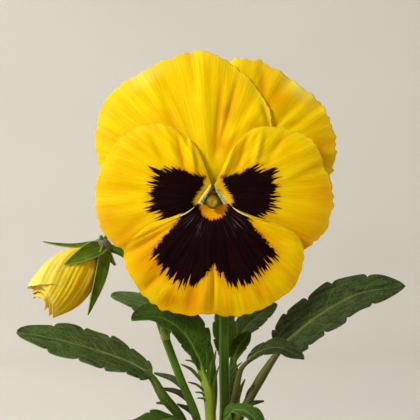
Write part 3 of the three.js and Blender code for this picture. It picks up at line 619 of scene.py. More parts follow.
# edge is the outline in pixels, inner the two ends of the inner rim in millimetres from the throat,
# claw the direction and half width in degrees of the root, and layer counts from the front. A crease
# has its line's two ends and its width in pixels, then its depth in millimetres.
PETALS = {
    "petal_upper_left": dict(
        edge=[(118, 200), (101.5, 168), (95, 135), (102, 106), (121.5, 85), (148, 69.5), (168, 57.5),
              (191, 51.5), (217.6, 56.6), (239, 68), (257, 88), (270.5, 113), (268, 140), (250, 162)],
        inner=[(-2.5, 4.8), (1.2, 5.2)], sag=0.3, claw=(114, -11), layer=2, fold_height=0.5, lean=0.06,
        creases=[(214, 165, 222, 85, 4, 0.9), (219, 150, 236, 84, 3, 0.8), (205, 160, 200, 70, 7, -0.9),
                 (147, 72, 163, 104, 7, -1.0), (185, 150, 160, 90, 6, 0.6), (228, 140, 262, 106, 5, -0.6),
                 (160, 160, 110, 130, 6, 0.5), (262, 100, 270, 128, 3, 0.7)]),
    "petal_upper_right": dict(
        edge=[(196, 92), (206, 71), (229, 60.7), (258, 59.5), (283, 74), (307, 90), (323, 107), (333, 128),
              (336.2, 153), (330, 176), (316, 197), (292, 206)],
        inner=[(0.4, 5.4), (3.4, 4.6)], sag=0.2, claw=(66, -11), layer=3, folds=3, fold_height=0.5,
        lean=0.06,
        creases=[(262, 120, 300, 80, 6, -0.7), (270, 130, 330, 120, 5, 0.5), (265, 100, 262, 66, 5, 0.7),
                 (280, 128, 332, 150, 5, -0.5)]),
    "petal_side_left": dict(
        edge=[(199, 150), (186, 136), (165, 124.5), (140, 127), (116, 143), (101, 168), (95.5, 197),
              (100.5, 227), (118, 247), (142, 256), (166, 250), (188, 232)],
        inner=[(-0.5, 5.2), (-4.6, -1.1)], claw=(165, 16), layer=1,
        creases=[(195, 176, 190, 142, 2.6, -1.1), (186, 172, 178, 138, 3, 1.0),
                 (178, 164, 164, 130, 4, -0.8), (165, 164, 150, 132, 4, 0.6), (146, 190, 100, 182, 5, 0.5),
                 (146, 200, 100, 205, 5, -0.5), (150, 215, 118, 238, 5, 0.5)]),
    "petal_side_right": dict(
        edge=[(240, 232), (262, 250), (288, 255), (311, 245), (328, 225), (333, 201), (328.5, 175),
              (318, 147), (297, 133), (272, 125.5), (248, 132), (231, 150)],
        inner=[(4.6, -1.1), (0.5, 5.2)], claw=(15, 16), layer=1,
        creases=[(222, 178, 234, 147, 2.6, -1.1), (236, 170, 248, 138, 4, 0.9),
                 (254, 166, 262, 134, 3, -0.9), (266, 164, 285, 135, 4, 0.6), (280, 180, 322, 160, 4, -0.6),
                 (282, 196, 330, 192, 5, 0.5), (280, 212, 318, 236, 5, -0.5)]),
    "petal_lower": dict(
        edge=[(170, 219.5), (149, 224.5), (131, 240), (124.5, 258), (133, 282), (152, 303), (180, 314.5),
              (214, 314), (246, 315), (275, 303), (295, 283), (304, 255), (298, 236), (278, 224),
              (256, 218.5)],
        inner=[(-4.8, -0.8), (5.0, -0.8)], sag=-0.9, claw=(270, 25), layer=0, folds=6, fold_height=0.5,
        neck=0.9,
        creases=[(213.5, 262, 213.5, 308, 2.2, 0.9), (194, 284, 190, 312, 6, 0.9),
                 (205, 285, 203, 312, 4, -0.6), (226, 288, 230, 312, 5, -0.6), (160, 275, 143, 290, 4, 0.7),
                 (172, 284, 158, 303, 4, -0.6), (255, 284, 266, 304, 4, 0.6), (270, 268, 292, 280, 4, -0.5),
                 (163, 232, 134, 250, 4, 0.6), (262, 232, 296, 244, 4, 0.5)]),
}


def edge_wobble(t, seed):
    """The uneven, slightly scalloped outline: 1 plus small ripples round the edge."""
    return (1 + 0.005 * ripple(t, 150, 260, seed + 2) + 0.005 * ripple(t, 60, 110, seed)
            + 0.007 * ripple(t, 18, 40, seed + 1))


def petal_grid(u, v, edge, inner, claw, layer, creases, sag=0.0, folds=4, fold_height=0.45, lean=0.0,
               neck=0.0):
    """u runs from the receptacle (-1) over the claw to the throat (0) and out to the edge (1), and
    v round the edge from -1 to 1. Across and up go straight from the inner rim to the edge curve.
    sag lifts the middle of the inner rim, and neck lowers the petal's sides between rim and edge.
    The depth is the face's hollow and curl, the layer, a lean back with the height, broad folds, the
    creases, fine pleats and the edge's ruffle."""
    t = (v + 1) / 2
    seed = claw[0]
    rim = blend(*np.array(inner, float), t[..., None]) + stacked(0, sag * (1 - v * v))
    out = spline(bloom_plane(edge), t) * edge_wobble(t, 10 * layer + seed)[..., None]
    over = np.clip(u, 0, 1)
    places = blend(rim, out, over[..., None])
    places[..., 1] -= neck * np.sin(np.pi * over ** 0.8) * ramp(np.abs(v), 0.5, 1.0)
    depth = (face_depth(length_of(places)) + layer * PETAL_LAYER
             + lean * np.maximum(places[..., 1], 0) * over
             + fold_height * over ** 1.5 * np.sin(np.pi * folds * v + layer))
    hollow = sum(crease(places, *row) for row in creases) * ramp(over, 0.0, 0.3)
    pleats = ripple(v, 26, 60, seed + 3, 9) * 0.13 * ramp(over, 0.1, 0.8)
    ruffle = ripple(v, 12, 30, seed + 4, 6) * 0.45 * over ** 6
    depth = depth + hollow + pleats + ruffle + 0.35 * ramp(over, 0.86, 1.0) ** 2
    angle = np.radians(claw[0] + v * claw[1])
    root = CLAW_RADIUS * stacked(np.cos(angle), np.sin(angle))
    places = blend(places, root, smooth(-u)[..., None])
    return places, blend(depth, CLAW_DEPTH, np.clip(-u, 0, 1)), hollow + 2.2 * pleats


def petal_patch(name, rows=110, columns=230):
    """The petal's sheet, thinner to its edge, with what its finish reads: place in the fan and
    distance from the throat, distance to the mask's outline and whether that runs across the fan,
    and how near the edge and its painted highlight spots, the folds that get painted shade, the
    painted shade spots and the hairs are."""
    claw_rows = 14
    u = np.concatenate([np.linspace(-1, 0, claw_rows)[:-1], np.linspace(0, 1, rows - claw_rows + 1)])
    u, v = np.meshgrid(u, np.linspace(-1, 1, columns), indexing="ij")
    places, depth, hollow = petal_grid(u, v, **PETALS[name])
    mask = np.full(u.shape, NO_MASK)
    along_fan = np.ones(u.shape)
    if name in MASKS:
        corners = bloom_plane(MASKS[name])
        outline = spline(np.concatenate([corners, corners[:1]]), np.linspace(0, 1, 160, endpoint=False))
        mask = signed_distance(places, outline)
        nudge = 0.05
        further = signed_distance(places + nudge * unit(places), outline)
        along_fan = ramp(np.abs(further - mask) / nudge, 0.35, 0.85)
    if name == "petal_lower":
        eye = EYE_RADIUS_PX * MM_PER_PX - length_of(places - bloom_plane(EYE_PX))
        mask = np.maximum(mask, eye)
    # Painted highlight spots on the curled rims of the upper petals.
    paler = near_spots(places, RIM_HIGHLIGHT_SPOTS) if "upper" in name else 0.0
    marks = {"place": stacked(u, v, length_of(places)), "mask": mask, "along_fan": along_fan,
             "rim": ramp(u, 0.86, 1.0) * (0.1 + paler), "hollow": hollow,
             "shade": near_spots(places, PAINTED_SHADE_SPOTS[name]), "hairs": near_spots(places, HAIR_SPOTS)}
    thickness = blend(PETAL_THICKNESS, PETAL_RIM_THICKNESS, ramp(np.maximum(np.abs(v), u), 0.8, 1.0))
    return sheet(seen_in_bloom(places[..., 0], places[..., 1], depth), thickness, marks)


# ---------------------------------------------------------------- blades: leaves and sepals

TEETH_GROWTH = 1.5
NOTCH = 0.22
WAVES = 3
SIDE_VEINS = 7
VEIN_SLANT = 0.2
VEIN_BOW = 1.3
LEAF_VEIN_RELIEF = 0.16


def leaf_outline(t, base):
    """Half width along a leaf: narrow or rounded at its base, widest beyond the middle, and round at
    its tip, where the square root of 1 - t^8 closes it."""
    body = np.sin(np.pi * (base + (0.86 - base) * t)) ** 0.8
    rounded = np.sqrt(1 - 0.9 * np.clip(1 - t / 0.09, 0, 1) ** 2)
    return body * rounded * np.sqrt(1 - 0.997 * t ** 8)


def sepal_outline(t, base):
    """Half width along a sepal: widest near its base, with a long point."""
    return np.sin(np.pi * (0.2 + 0.785 * t)) ** 0.9


def spindle_outline(t, base):
    """Half width along a stipule lobe: a long bell that keeps 0.18 of its width at both ends."""
    return 0.18 + 0.82 * np.sin(np.pi * np.clip(0.12 + 0.86 * t, 0, 1)) ** 0.9


def tooth_margin(t, teeth):
    """Teeth that point to the tip, parted by narrow cuts: each rises fast from its cut as 1 - e^-x,
    runs on nearly straight and ends rounded."""
    place = teeth * np.clip(t, 0, 1) ** (1 / TEETH_GROWTH) - 1e-6
    along = np.maximum(place - np.floor(place), 0)
    rounded = 0.5 * NOTCH * ramp(along, 0.88, 1.0) ** 2
    return 1 - NOTCH * (0.7 * np.exp(-along / 0.07) + 0.3 * (1 - along)) - rounded


def blade_patch(thickness, midrib, half_width, facing, outline, base=0.05, fold=0.2, wave=0.0, teeth=0,
                rows=200, columns=45, veins=0.0, lean=0.85, halves=(1.0, 1.0)):
    """t runs along the midrib and v across, and a lean above 1 moves the widest place to the tip. A
    blade's halves, each with its share of the width, rise from the midrib by the fold, its edges
    wave, teeth draw its margin in, and the flesh swells between the side veins. A side vein is where
    SIDE_VEINS (t - slant |v|^bow) is a whole number. The sheet is thinner at its margin."""
    t = 1 - (1 - np.linspace(0, 1, rows)) ** 1.3
    path = path_through(midrib, t)
    tangent = unit(np.gradient(path, axis=0))
    up = blend(*(unit(np.array(way, float)) for way in facing), t[:, None])
    side = unit(np.cross(tangent, up))
    normal = unit(np.cross(side, tangent))
    t, v = np.meshgrid(t, np.linspace(-1, 1, columns), indexing="ij")
    out = np.abs(v)
    inset = (1 - tooth_margin(t, teeth)) if teeth else 0.0
    drawn_in = v * (1 - inset * ramp(out, 0.35, 1.0))
    across = drawn_in * half_width * outline(t ** lean, base) * np.where(v < 0, *halves)
    phase = SIDE_VEINS * (t - VEIN_SLANT * out ** VEIN_BOW)
    flesh = veins * (0.5 - 0.5 * np.cos(2 * np.pi * phase)) * ramp(out, 0.04, 0.3) * ramp(1 - out, 0, 0.2)
    lift = (np.abs(across) * fold + wave * v * v * np.sin(2 * np.pi * WAVES * t + 2 * v) + flesh
            - veins * 0.9 * bell(across, 0.7))
    middle = path[:, None] + side[:, None] * across[..., None] + normal[:, None] * lift[..., None]
    thin = thickness * (1 - 0.55 * ramp(np.maximum(out, t ** 4), 0.8, 1.0))
    return sheet(middle, thin, {"place": stacked(t, v, across)})


def leaf_finish(name, flesh, dark, sheen, vein, margin):
    """Dark flesh with a painted greyed sheen and painted light flecks between the veins, a pale midrib,
    faint side veins and a fine wrinkled net, and a paler, matt underside."""
    finish = Finish(name, 0.16, 0.04)
    t, v, across = finish.surface()
    out = v.size()
    phase = (t - (out ** VEIN_BOW) * VEIN_SLANT) * float(SIDE_VEINS)
    side_vein = phase.wave(0.5).step(0.09, 0.02) * out.step(1.0, 0.6)
    midrib = (across.size() + t * 0.4).step(0.8, 0.45)
    flat = finish.joined(t * 46.0, across * 1.4)
    net = finish.add("ShaderNodeTexVoronoi", {"feature": "DISTANCE_TO_EDGE"}, Vector=flat, Scale=1.1)
    netted = net["Distance"].step(0.16, 0.02)
    cloud = finish.noise(finish.place(), 0.16, 4.0, 0.6)
    mottle = finish.noise(flat, 0.9, 4.0, 0.65)
    along = finish.noise(finish.joined(t * 9.0, across * 1.1 - t * 6.0))
    pebble = finish.noise(flat, 2.6, 3.0, 0.6)
    flecks = finish.noise(flat, 1.5, 2.0, 0.7)
    finish.tone = finish.mixed((cloud * 0.5 + mottle * 0.6 + pebble * 0.6).step(0.72, 0.98), flesh, dark)
    # Painted sheen: greyed light over the flesh.
    finish.wash((along * 0.9 + pebble * 0.9).step(0.82, 1.08) * 0.8, sheen)
    finish.wash(netted * 0.16, dark)
    # Painted sheen on light flecks; the dark flecks below are the flesh's own tone.
    finish.wash(flecks.step(0.55, 0.66) * 0.42, sheen)
    finish.wash(flecks.step(0.46, 0.36) * 0.4, dark)
    finish.wash(side_vein * 0.12, vein)
    finish.wash(midrib * (0.72 - t * 0.45), vein)
    finish.wash(out.step(0.95, 0.99) * 0.55, margin)
    # The underside's own paler tone, half the sheen colour.
    underside = finish.mixed(0.5, finish.tone, sheen)
    finish.wash(finish.mark("face"), underside)
    grain = finish.noise(finish.place(), 5.0, 2.0)
    height = mottle * 0.7 + pebble * 0.7 + grain * 0.2 - netted * 0.4 - side_vein * 0.5 - midrib * 0.4
    return finish.paint(0.5 + grain * 0.16, finish.bump(height, 0.55))


def stalk_finish(name, clear, dark, pale, rough=0.4):
    """Long ribs and paler stripes that run with the stalk, and a fine bloom."""
    finish = Finish(name, 0.25, 0.06)
    length, c, s = finish.surface()
    stripes = finish.noise(finish.joined(c * 2.4, s * 2.4, length * 0.035), detail=2.5, roughness=0.5)
    fine = finish.noise(finish.joined(c * 9.0, s * 9.0, length * 0.12))
    cloud = finish.noise(finish.place(), 0.12)
    grain = finish.noise(finish.place(), 4.0, 2.0)
    finish.tone = finish.mixed((stripes * 0.5 + cloud * 0.5).step(0.34, 0.66), clear, dark)
    finish.wash(fine.step(0.56, 0.8) * 0.6, pale)
    return finish.paint(rough + grain * 0.15, finish.bump(stripes + fine * 0.5 + grain * 0.2, 0.25, 0.7))


def sepal_finish(name, flesh, dark, margin):
    """Fine veins along the sepal, a thin pale margin and a violet-grey root."""
    finish = Finish(name, 0.22, 0.08)
    t, v, _ = finish.surface()
    veins = finish.noise(finish.joined(v * 7.0, t * 1.2))
    cloud = finish.noise(finish.place(), 0.3)
    light_veins = (v * 3.0 + 0.5).wave(0.5).step(0.82, 0.98) * (1 - t) * t.step(0.08, 0.25)
    finish.tone = finish.mixed((veins * 0.8 + cloud * 0.6).step(0.5, 0.9), flesh, dark)
    finish.wash(light_veins * 0.3, margin)
    finish.wash(v.size().step(0.84, 0.97) * 0.7, margin)
    finish.wash(t.step(0.2, 0.0) * cloud.step(0.35, 0.62) * 0.8, (128, 116, 126))
    return finish.paint(0.45 + cloud * 0.12, finish.bump(veins + cloud * 0.4, 0.2, 0.7))


# ---------------------------------------------------------------- leaves

# foot is a stalk's direction in degrees and distance from the crown's axis, route the places that
# it then passes, midrib the blade's own line, facing which way its upper side looks at both ends,
# and a lobe has the pixel and depth of its root, those of its tip, and its half width. radius is the
# stalk's, and tint and stalk name the finishes of the blade and its stalk.
LEAVES = {
    "leaf_left": dict(
        foot=(196, 7), route=[above(-8.6, -3.5, 14), at(182, 420, -7), at(163, 396, -9)],
        midrib=[at(151, 375, -10), at(132, 364, -11), at(105, 353.5, -13), at(66, 342, -15),
                at(17, 331.5, -15)],
        half_width=7.6, facing=[(0.1, -0.62, 0.78), (-0.1, -0.7, 0.7)], fold=0.12, wave=0.5, radius=1.35,
        base=0.1, lobes=[(172, 407, -8, 156, 403, -9, 0.7)], tint="greyed"),
    "leaf_right": dict(
        foot=(352, 7.2),
        route=[above(8.7, -1.5, 14), at(240, 418, -2), at(248, 402, -2), at(260, 380, -2)],
        midrib=[at(279, 350, -2), at(290, 338.5, -3), at(318, 316, -5), at(358, 294, -8), at(405, 286, -10)],
        half_width=8.2, facing=[(-0.3, -0.78, 0.5), (0.05, -0.8, 0.6)], fold=0.16, wave=0.6, base=0.22,
        radius=1.3, lobes=[(246, 404, -2, 254, 384, -3.5, 0.9), (239, 413, -2, 264, 401, -4.5, 0.9)],
        tint="deep", stalk="olive petiole"),
    "leaf_front_right": dict(
        foot=(322, 6.6), route=[at(231, 418, -8), at(236, 392, -10), at(241, 370, -12)],
        midrib=[at(246, 362, -13), at(260, 352, -14), at(278, 348, -16), at(304, 359, -18)],
        half_width=4.4, facing=[(-0.3, -0.5, 0.8), (0.4, -0.5, 0.75)], wave=0.2, radius=0.9,
        teeth=4, lean=1.15, tint="deep", stalk="maroon petiole"),
    "leaf_centre_left": dict(
        foot=(262, 3.7), route=[at(211, 420, -4.5), at(209, 396, -5)],
        midrib=[at(203, 372, -5), at(195, 352, -4.5), at(182, 332, -4.5), at(160, 318, -5),
                at(131.5, 319, -7)],
        half_width=8.7, facing=[(0.3, -0.95, 0.2), (0.1, -0.45, 0.9)], wave=0.5, radius=1.6,
        lean=1.0, halves=(0.45, 1.0),
        lobes=[(194, 357, -5.5, 184, 350, -7, 0.3), (197, 365, -5.5, 185, 360, -7, 0.3),
               (201, 381, -5.5, 181, 364, -7.5, 0.55), (204, 391, -6, 188, 382, -7.5, 0.4),
               (206, 396, -6, 195, 392, -7, 0.3), (207, 401, -6, 197, 398, -7, 0.3),
               (210, 396, -5, 216, 350, -6, 0.6), (209, 392, -5.4, 207, 352, -6.2, 0.5),
               (211, 400, -5.6, 219, 366, -6.5, 0.45), (209, 398, -5.6, 212, 362, -7, 0.4)],
        tint="dark", stalk="pale petiole"),
    "leaf_young": dict(
        foot=(52, 4.6), route=[at(226, 410, 5.5), at(226, 380, 6.5)],
        midrib=[at(225, 360, 8), at(225, 335, 9.5), at(224, 300, 11)],
        half_width=4.2, facing=[(0, -1, 0.1), (0, -0.9, -0.2)], fold=0.25, teeth=4, radius=0.9,
        tint="fresh"),
    "leaf_back_left": dict(
        foot=(128, 6.6), route=[at(214, 400, 14), at(212, 365, 20)],
        midrib=[at(205, 335, 24), at(180, 318, 27), at(148, 305, 30), at(111, 295, 32)],
        half_width=6, facing=[(0.2, -0.6, 0.7), (0, -0.6, 0.75)], fold=0.15, wave=0.4,
        lobes=[(190, 394, 3, 154, 373, 7, 1.1), (194, 405, 3, 160, 388, 7, 1.0),
               (200, 421, 3, 177, 404, 5, 1.0)], tint="hazy"),
    "leaf_behind_right": dict(
        foot=(26, 6.8), route=[at(232, 395, 8), at(233, 365, 12)],
        midrib=[at(235, 345, 14), at(246, 327, 16), at(260, 314, 18), at(277, 304, 19)],
        half_width=4.6, facing=[(-0.5, -0.75, 0.4), (0, -0.8, 0.6)], wave=0.3, teeth=5, tint="hazy"),
    "leaf_dark_right": dict(
        foot=(350, 4.3), route=[at(237, 405, 0.5), at(237, 375, 1)],
        midrib=[at(234, 359, 2), at(239, 347, 2.5), at(250, 332, 3)],
        half_width=2.8, facing=[(-0.6, -0.75, 0.3), (0.2, -0.8, 0.6)], teeth=3, radius=0.8,
        lobes=[(231, 371, 0.5, 243, 352, -2, 0.4), (230, 379, 0, 242, 362, -3, 0.35),
               (230, 385, 0, 240, 371, -3, 0.35), (230, 390, 0, 239, 379, -3, 0.3),
               (230, 394, 0, 238, 387, -3, 0.3), (230, 398, 0, 237, 393, -3, 0.3),
               (237, 404, 0, 245, 379, -2, 0.6)], tint="dark"),
    "leaf_bottom_left": dict(
        foot=(224, 7.2), route=[above(-6.5, -9, 14), above(-8.5, -13, 20)],
        midrib=[above(-9, -14.5, 23), above(-13.5, -18, 25.5), above(-21, -22, 24), above(-33, -28, 15)],
        half_width=7.5, facing=[(0.1, -0.2, 1), (-0.3, -0.2, 0.9)], fold=0.15, wave=0.5, tint="dark"),
    "leaf_bottom_right": dict(
        foot=(292, 7), route=[above(3, -10.5, 12), above(2, -14, 20)],
        midrib=[above(2.5, -15, 24), above(6, -16.5, 28), above(11, -19, 26.5), above(14.5, -22, 19)],
        half_width=4.6, facing=[(0.1, -0.4, 0.9), (0.6, -0.3, 0.6)], wave=0.3, teeth=5, tint="young"),
}

# Low leaves on the sides that the photograph doesn't show: direction, reach, rise and half width.
# Their midrib is given as shares of the reach and of the rise, and a lift in millimetres.
LOW_LEAVES = [(62, 58, 8, 8.2), (96, 48, 7, 7.8), (160, 60, 9, 8.4), (260, 46, 5, 7.4)]
LOW_MIDRIB = [(0.32, 0.75, 0), (0.55, 1, 0), (0.8, 0.9, 0), (1, 0.35, 3)]
for number, (direction, reach, rise, low_width) in enumerate(LOW_LEAVES, 1):
    LEAVES[f"leaf_low_{number}"] = dict(
        foot=(direction, 7.2), route=[on_crown(direction, 10, CROWN_TOP + 4)],
        midrib=[on_crown(direction, reach * out, CROWN_TOP + rise * up + lift)
                for out, up, lift in LOW_MIDRIB],
        half_width=low_width, facing=[(0, 0, 1), on_crown(direction, 0.4, 0.9)], fold=0.18, wave=0.5,
        teeth=5, tint="deep")

# Each tint: flesh, dark, painted sheen that also pales the underside, vein and margin.
LEAF_TINTS = {
    "greyed": [(84, 114, 30), (40, 66, 10), (116, 132, 88), (158, 176, 100), (146, 164, 104)],
    "deep": [(62, 88, 22), (26, 46, 4), (92, 104, 68), (138, 154, 76), (92, 68, 50)],
    "dark": [(66, 106, 4), (30, 58, 0), (84, 112, 30), (136, 166, 46), (128, 158, 60)],
    "hazy": [(98, 126, 62), (76, 104, 42), (126, 146, 98), (150, 174, 104), (128, 152, 92)],
    "fresh": [(124, 166, 48), (94, 136, 24), (152, 184, 104), (200, 220, 130), (204, 222, 140)],
    "young": [(80, 124, 24), (54, 94, 10), (112, 146, 70), (160, 188, 86), (152, 182, 92)],
}
PETIOLE_TINTS = {
    "petiole": [(92, 116, 16), (58, 76, 6), (156, 168, 74)],
    "pale petiole": [(150, 170, 44), (112, 138, 22), (196, 208, 110)],
    "olive petiole": [(86, 98, 18), (66, 58, 16), (136, 142, 62)],
    "maroon petiole": [(84, 86, 30), (66, 58, 24), (124, 128, 62)],
}


def from_crown(foot, points):
    """Each stalk starts upright in its socket in the crown."""
    return [*(on_crown(*foot, z) for z in (STALK_FOOT, CROWN_TOP - 4, CROWN_TOP + 2)), *points]


def lobe_patch(start, end, width):
    """A narrow stipule lobe: a flat spindle, bent up a little, rooted in the leaf's stalk."""
    middle = blend(start, end, 0.45) + [0, 0, 0.12 * length_of(end - start)]
    facing = (0.1, -1.0, 0.35)
    return blade_patch(LEAF_THICKNESS, [start, middle, end], width, (facing, facing), spindle_outline,
                       fold=0.3, rows=24, columns=9)


def make_leaf(name, blades, petioles, foot, route, midrib, tint, radius=1.1, lobes=(), teeth=6,
              stalk="petiole", **blade):
    """The blade, the stalk that carries it into its underside, and its stipule lobes."""
    plate = blade_patch(LEAF_THICKNESS, midrib, teeth=teeth, outline=leaf_outline, veins=LEAF_VEIN_RELIEF,
                        **blade)
    under = -0.9 * radius * unit(np.array(blade["facing"][0], float))
    tip = blend(midrib[0], midrib[1], 0.9) + under
    points = [*from_crown(foot, route), midrib[0] + 0.6 * under, tip]
    carrier = stem(points, radius * np.array([1.15, 1, 1, 1.2, 0.5]), 70, 16, STALK_RIBS, 3)
    solid_piece(f"{name}.blade", [plate], [blades[tint]])
    solid_piece(f"{name}.stalk", [carrier], [petioles[stalk]])
    if lobes:
        patches = [lobe_patch(at(*lobe[:3]), at(*lobe[3:6]), lobe[6]) for lobe in lobes]
        solid_piece(f"{name}.stipules", patches, [blades[tint]])


# ---------------------------------------------------------------- bloom: calyx, pistil, anthers, beards

SEPAL_DIRECTIONS = (90, 20, 160, 225, 315)
ANTHER_DIRECTIONS = (18, 90, 162, 234, 306)
BEARD_HAIRS = 190
BEARD_LINE_POINTS = 9
HEM_POINTS = 24


def sepal_patch(points, half_width, facing):
    """A blade without teeth or veins, folded along its midrib."""
    return blade_patch(SEPAL_THICKNESS, points, half_width, (facing, facing), sepal_outline, rows=60,
                       columns=17, fold=0.25)


def bloom_calyx():
    """The receptacle turned round the bloom's axis, five sepals, and an ear behind all but one."""
    front, back, wide = RECEPTACLE_FRONT, RECEPTACLE_BACK, RECEPTACLE_RADIUS
    receptacle = turned([(0.3, front), (wide - 0.6, front), (wide, front + 0.7), (wide, front + 2),
                         (2.2, back), (0.3, back)], 32, in_bloom(0, 0, 0), "Y", finish=1)
    sepals = [sepal_patch([round_bloom(d, 2, 10.6), round_bloom(d, 7, 10.4), round_bloom(d, 15.5, 12.5)],
                          2, (0, 1, 0)) for d in SEPAL_DIRECTIONS]
    ears = [stem([round_bloom(d, 2.6, 11.8), round_bloom(d, 4, 13.6), round_bloom(d, 5, 15.6)],
                 [1, 1.1, 0.35], 14, 12) for d in SEPAL_DIRECTIONS[1:]]
    return [receptacle, *sepals, *ears]


def pistil_patch():
    """Ovary, style and the round stigma, hollowed in front, turned round the bloom's axis."""
    angle = np.radians(np.linspace(-90, 60, 16))
    radius = STIGMA_RADIUS * np.cos(angle)
    depth = 0.5 + STIGMA_RADIUS * np.sin(angle) + 0.75 * bell(radius, 0.75)
    profile = [(0.06, depth[0]), *zip(radius[1:], depth[1:]), (0.7, 3.2), (0.75, 5.6), (1.15, 6.4),
               (1.15, CLAW_DEPTH), (0.1, CLAW_DEPTH)]
    return turned(profile, 40, in_bloom(0, PISTIL_DROP, 0), "Y")


def anther_patches():
    """Five anthers in a ring round the ovary, each widest before its tip."""
    return [stem([round_bloom(d, 1.75, CLAW_DEPTH, PISTIL_DROP), round_bloom(d, 1.8, 6.5, PISTIL_DROP),
                  round_bloom(d, 1.9, 3.4, PISTIL_DROP)], [0.32, 0.62, 0.7, 0.3], 18, 12)
            for d in ANTHER_DIRECTIONS]


def beard_patches(name, seed):
    """The brush on a side petal's inner rim: a cushion, and club-shaped hairs that lean to the
    stigma, spread by a drawn turn and a small drawn error."""
    v = np.linspace(-0.97, 0.97, BEARD_LINE_POINTS)[None, :]
    places, depth, _ = petal_grid(np.zeros_like(v), v, **PETALS[name])
    line = seen_in_bloom(places[0, :, 0], places[0, :, 1], depth[0]) + [0, -0.4, 0]
    if line[0, 2] < line[-1, 2]:
        line = line[::-1]
    cushion = stem(line, [0.2, 0.35, 0.5, 0.6, 0.3], 40, 16)
    draw = np.random.default_rng(seed)
    share = draw.uniform(0.06, 0.94, BEARD_HAIRS)
    roots = path_through(line, share)
    inward = unit((in_bloom(0, -0.6, -0.2) - roots) * [1, 0, 1])
    turn = draw.uniform(-1.25, 1.25, BEARD_HAIRS)[:, None]
    lean = inward * np.cos(turn) + np.array([0, -1, 0]) * (0.35 + np.abs(np.sin(turn)))
    lean = unit(lean + draw.normal(0, 0.22, lean.shape))
    length = draw.uniform(0.3, 0.6, BEARD_HAIRS)[:, None] * blend(0.7, 1.5, share)[:, None]
    return [cushion, hair_patch(roots + lean * 0.5, lean, length, 0.07, club=1.3)]


def hair_patch(roots, directions, lengths, radius, club, sides=5):
    """Many straight hairs as one patch: each is three rings from root to tip, and the last is as
    wide as club says."""
    first = unit(np.cross(directions, [0.3, 0.2, 1.0]))
    second = np.cross(directions, first)
    angle = full_turn(sides)[:, None]
    circle = first[:, None] * np.cos(angle) + second[:, None] * np.sin(angle)
    rings = [(roots + directions * lengths * along)[:, None] + circle * radius * wide
             for along, wide in ((0.0, 1.0), (0.55, blend(1.0, club, 0.6)), (0.95, club))]
    return tubes(np.stack(rings, 1), np.stack([roots, roots + directions * lengths], 1))


def hem_patches():
    """The pale rolled hem on both sides of the lower petal, from its throat to where it widens."""
    u, v = np.meshgrid(np.linspace(0.12, 0.97, HEM_POINTS), [-1.0, 1.0], indexing="ij")
    places, depth, _ = petal_grid(u, v, **PETALS["petal_lower"])
    lines = seen_in_bloom(places[..., 0], places[..., 1], depth - 0.4)
    return [stem(lines[:, side], [0.08, 0.2, 0.2, 0.17, 0.08], 80, 10) for side in (0, 1)]


# ---------------------------------------------------------------- bud

BUD_HUB = at(103, 247, 2)
BUD_MOUTH = at(41, 302, -5)
BUD_LENGTH = length_of(BUD_MOUTH - BUD_HUB)
BUD_AXIS = (BUD_MOUTH - BUD_HUB) / BUD_LENGTH
UP_LEFT = np.array([-1, 0, 1])
BUD_SIDE = unit(UP_LEFT - BUD_AXIS * (UP_LEFT @ BUD_AXIS))
BUD_FRONT = np.cross(BUD_AXIS, BUD_SIDE)
BUD_RADII = (1.6, 4.9, 6.7, 7.6, 8, 8.1, 7.8, 7, 5.4)
BUD_START = 0.1
BUD_TWIST = 1.2
PLEAT_TWIST = 1.25
CORE_SHRINK = 0.965
CORE_END = 0.9
CORE_FLOOR = 0.68

# A rolled petal: the angle it starts at, its turns, where it starts along the bud, its girth at the
# mouth, its lip's flare, and the seed of its lip.
BUD_ROLLS = [(-1.7, 1.15, 0.03, 1.0, 0.7, 61), (1.9, 1.2, 0.55, 0.74, 0.5, 64),
             (0.2, 1.1, 0.6, 0.48, 0.3, 67)]

# A sepal: its midrib, its half width and which way its upper side looks.
BUD_SEPALS = [
    ([at(100, 242, 1), at(76, 246, 0), at(60, 245, -1.5), at(42.6, 241.7, -3)], 1.1, (0.1, -0.6, 0.8)),
    ([at(103, 246, 1), at(96, 249, -3), at(84, 255, -6.8), at(64.5, 264.5, -9.6)], 3.0, (-0.1, -1, 0.3)),
    ([at(105, 247, 1), at(104, 255, -2.6), at(100, 276, -4.7), at(88, 315, -6)], 2.4, (0.6, -0.8, 0)),
    ([at(101, 247, 4.5), at(86, 256, 9.8), at(68, 268, 12.5)], 2.6, (-0.1, 1, 0.3)),
    ([at(105, 251, 4), at(100, 276, 8.6), at(90, 300, 9.6)], 2.1, (0.6, 0.8, 0)),
]
BUD_EARS = [at(101, 235.5, 0.5), at(106, 236, 4.5), at(115, 265, -2), at(113, 263, 6.5)]


def round_bud(along, radius, angle):
    """A place by its distance from the hub along the bud's axis, and by radius and angle round it."""
    return (BUD_HUB + along[..., None] * BUD_AXIS + (radius * np.cos(angle))[..., None] * BUD_SIDE
            + (radius * np.sin(angle))[..., None] * BUD_FRONT)


def on_bud(s, angle, shrink, lift):
    """A place on the furled bud: s along it, angle round it. Three rolled folds run along it in a
    spiral."""
    fold = 1 + 0.07 * np.cos(3 * (angle + BUD_TWIST * s)) * smooth(s) + 0.16 * (s - 0.6) * np.cos(angle)
    radius = stepped(BUD_RADII, s) * fold * shrink + lift
    return round_bud(BUD_LENGTH * blend(BUD_START, 1, s), radius, angle)


def bud_pleats(s, angle):
    """Shallow folds that run along the bud, deepen from its base and fade before its mouth."""
    turn = angle + PLEAT_TWIST * s
    folds = 0.19 * ripple(turn, 9, 17, 31, 5, closed=True) + 0.14 * ripple(turn, 24, 40, 32, 5, closed=True)
    return folds * smooth(s / 0.35) * (1 - 0.8 * ramp(s, 0.78, 0.98))


def bud_place(s, angle):
    """What the bud's finish reads: s, and the cosine and sine of the turn that the pleats follow."""
    turn = angle + PLEAT_TWIST * s
    return stacked(s, np.cos(turn), np.sin(turn))


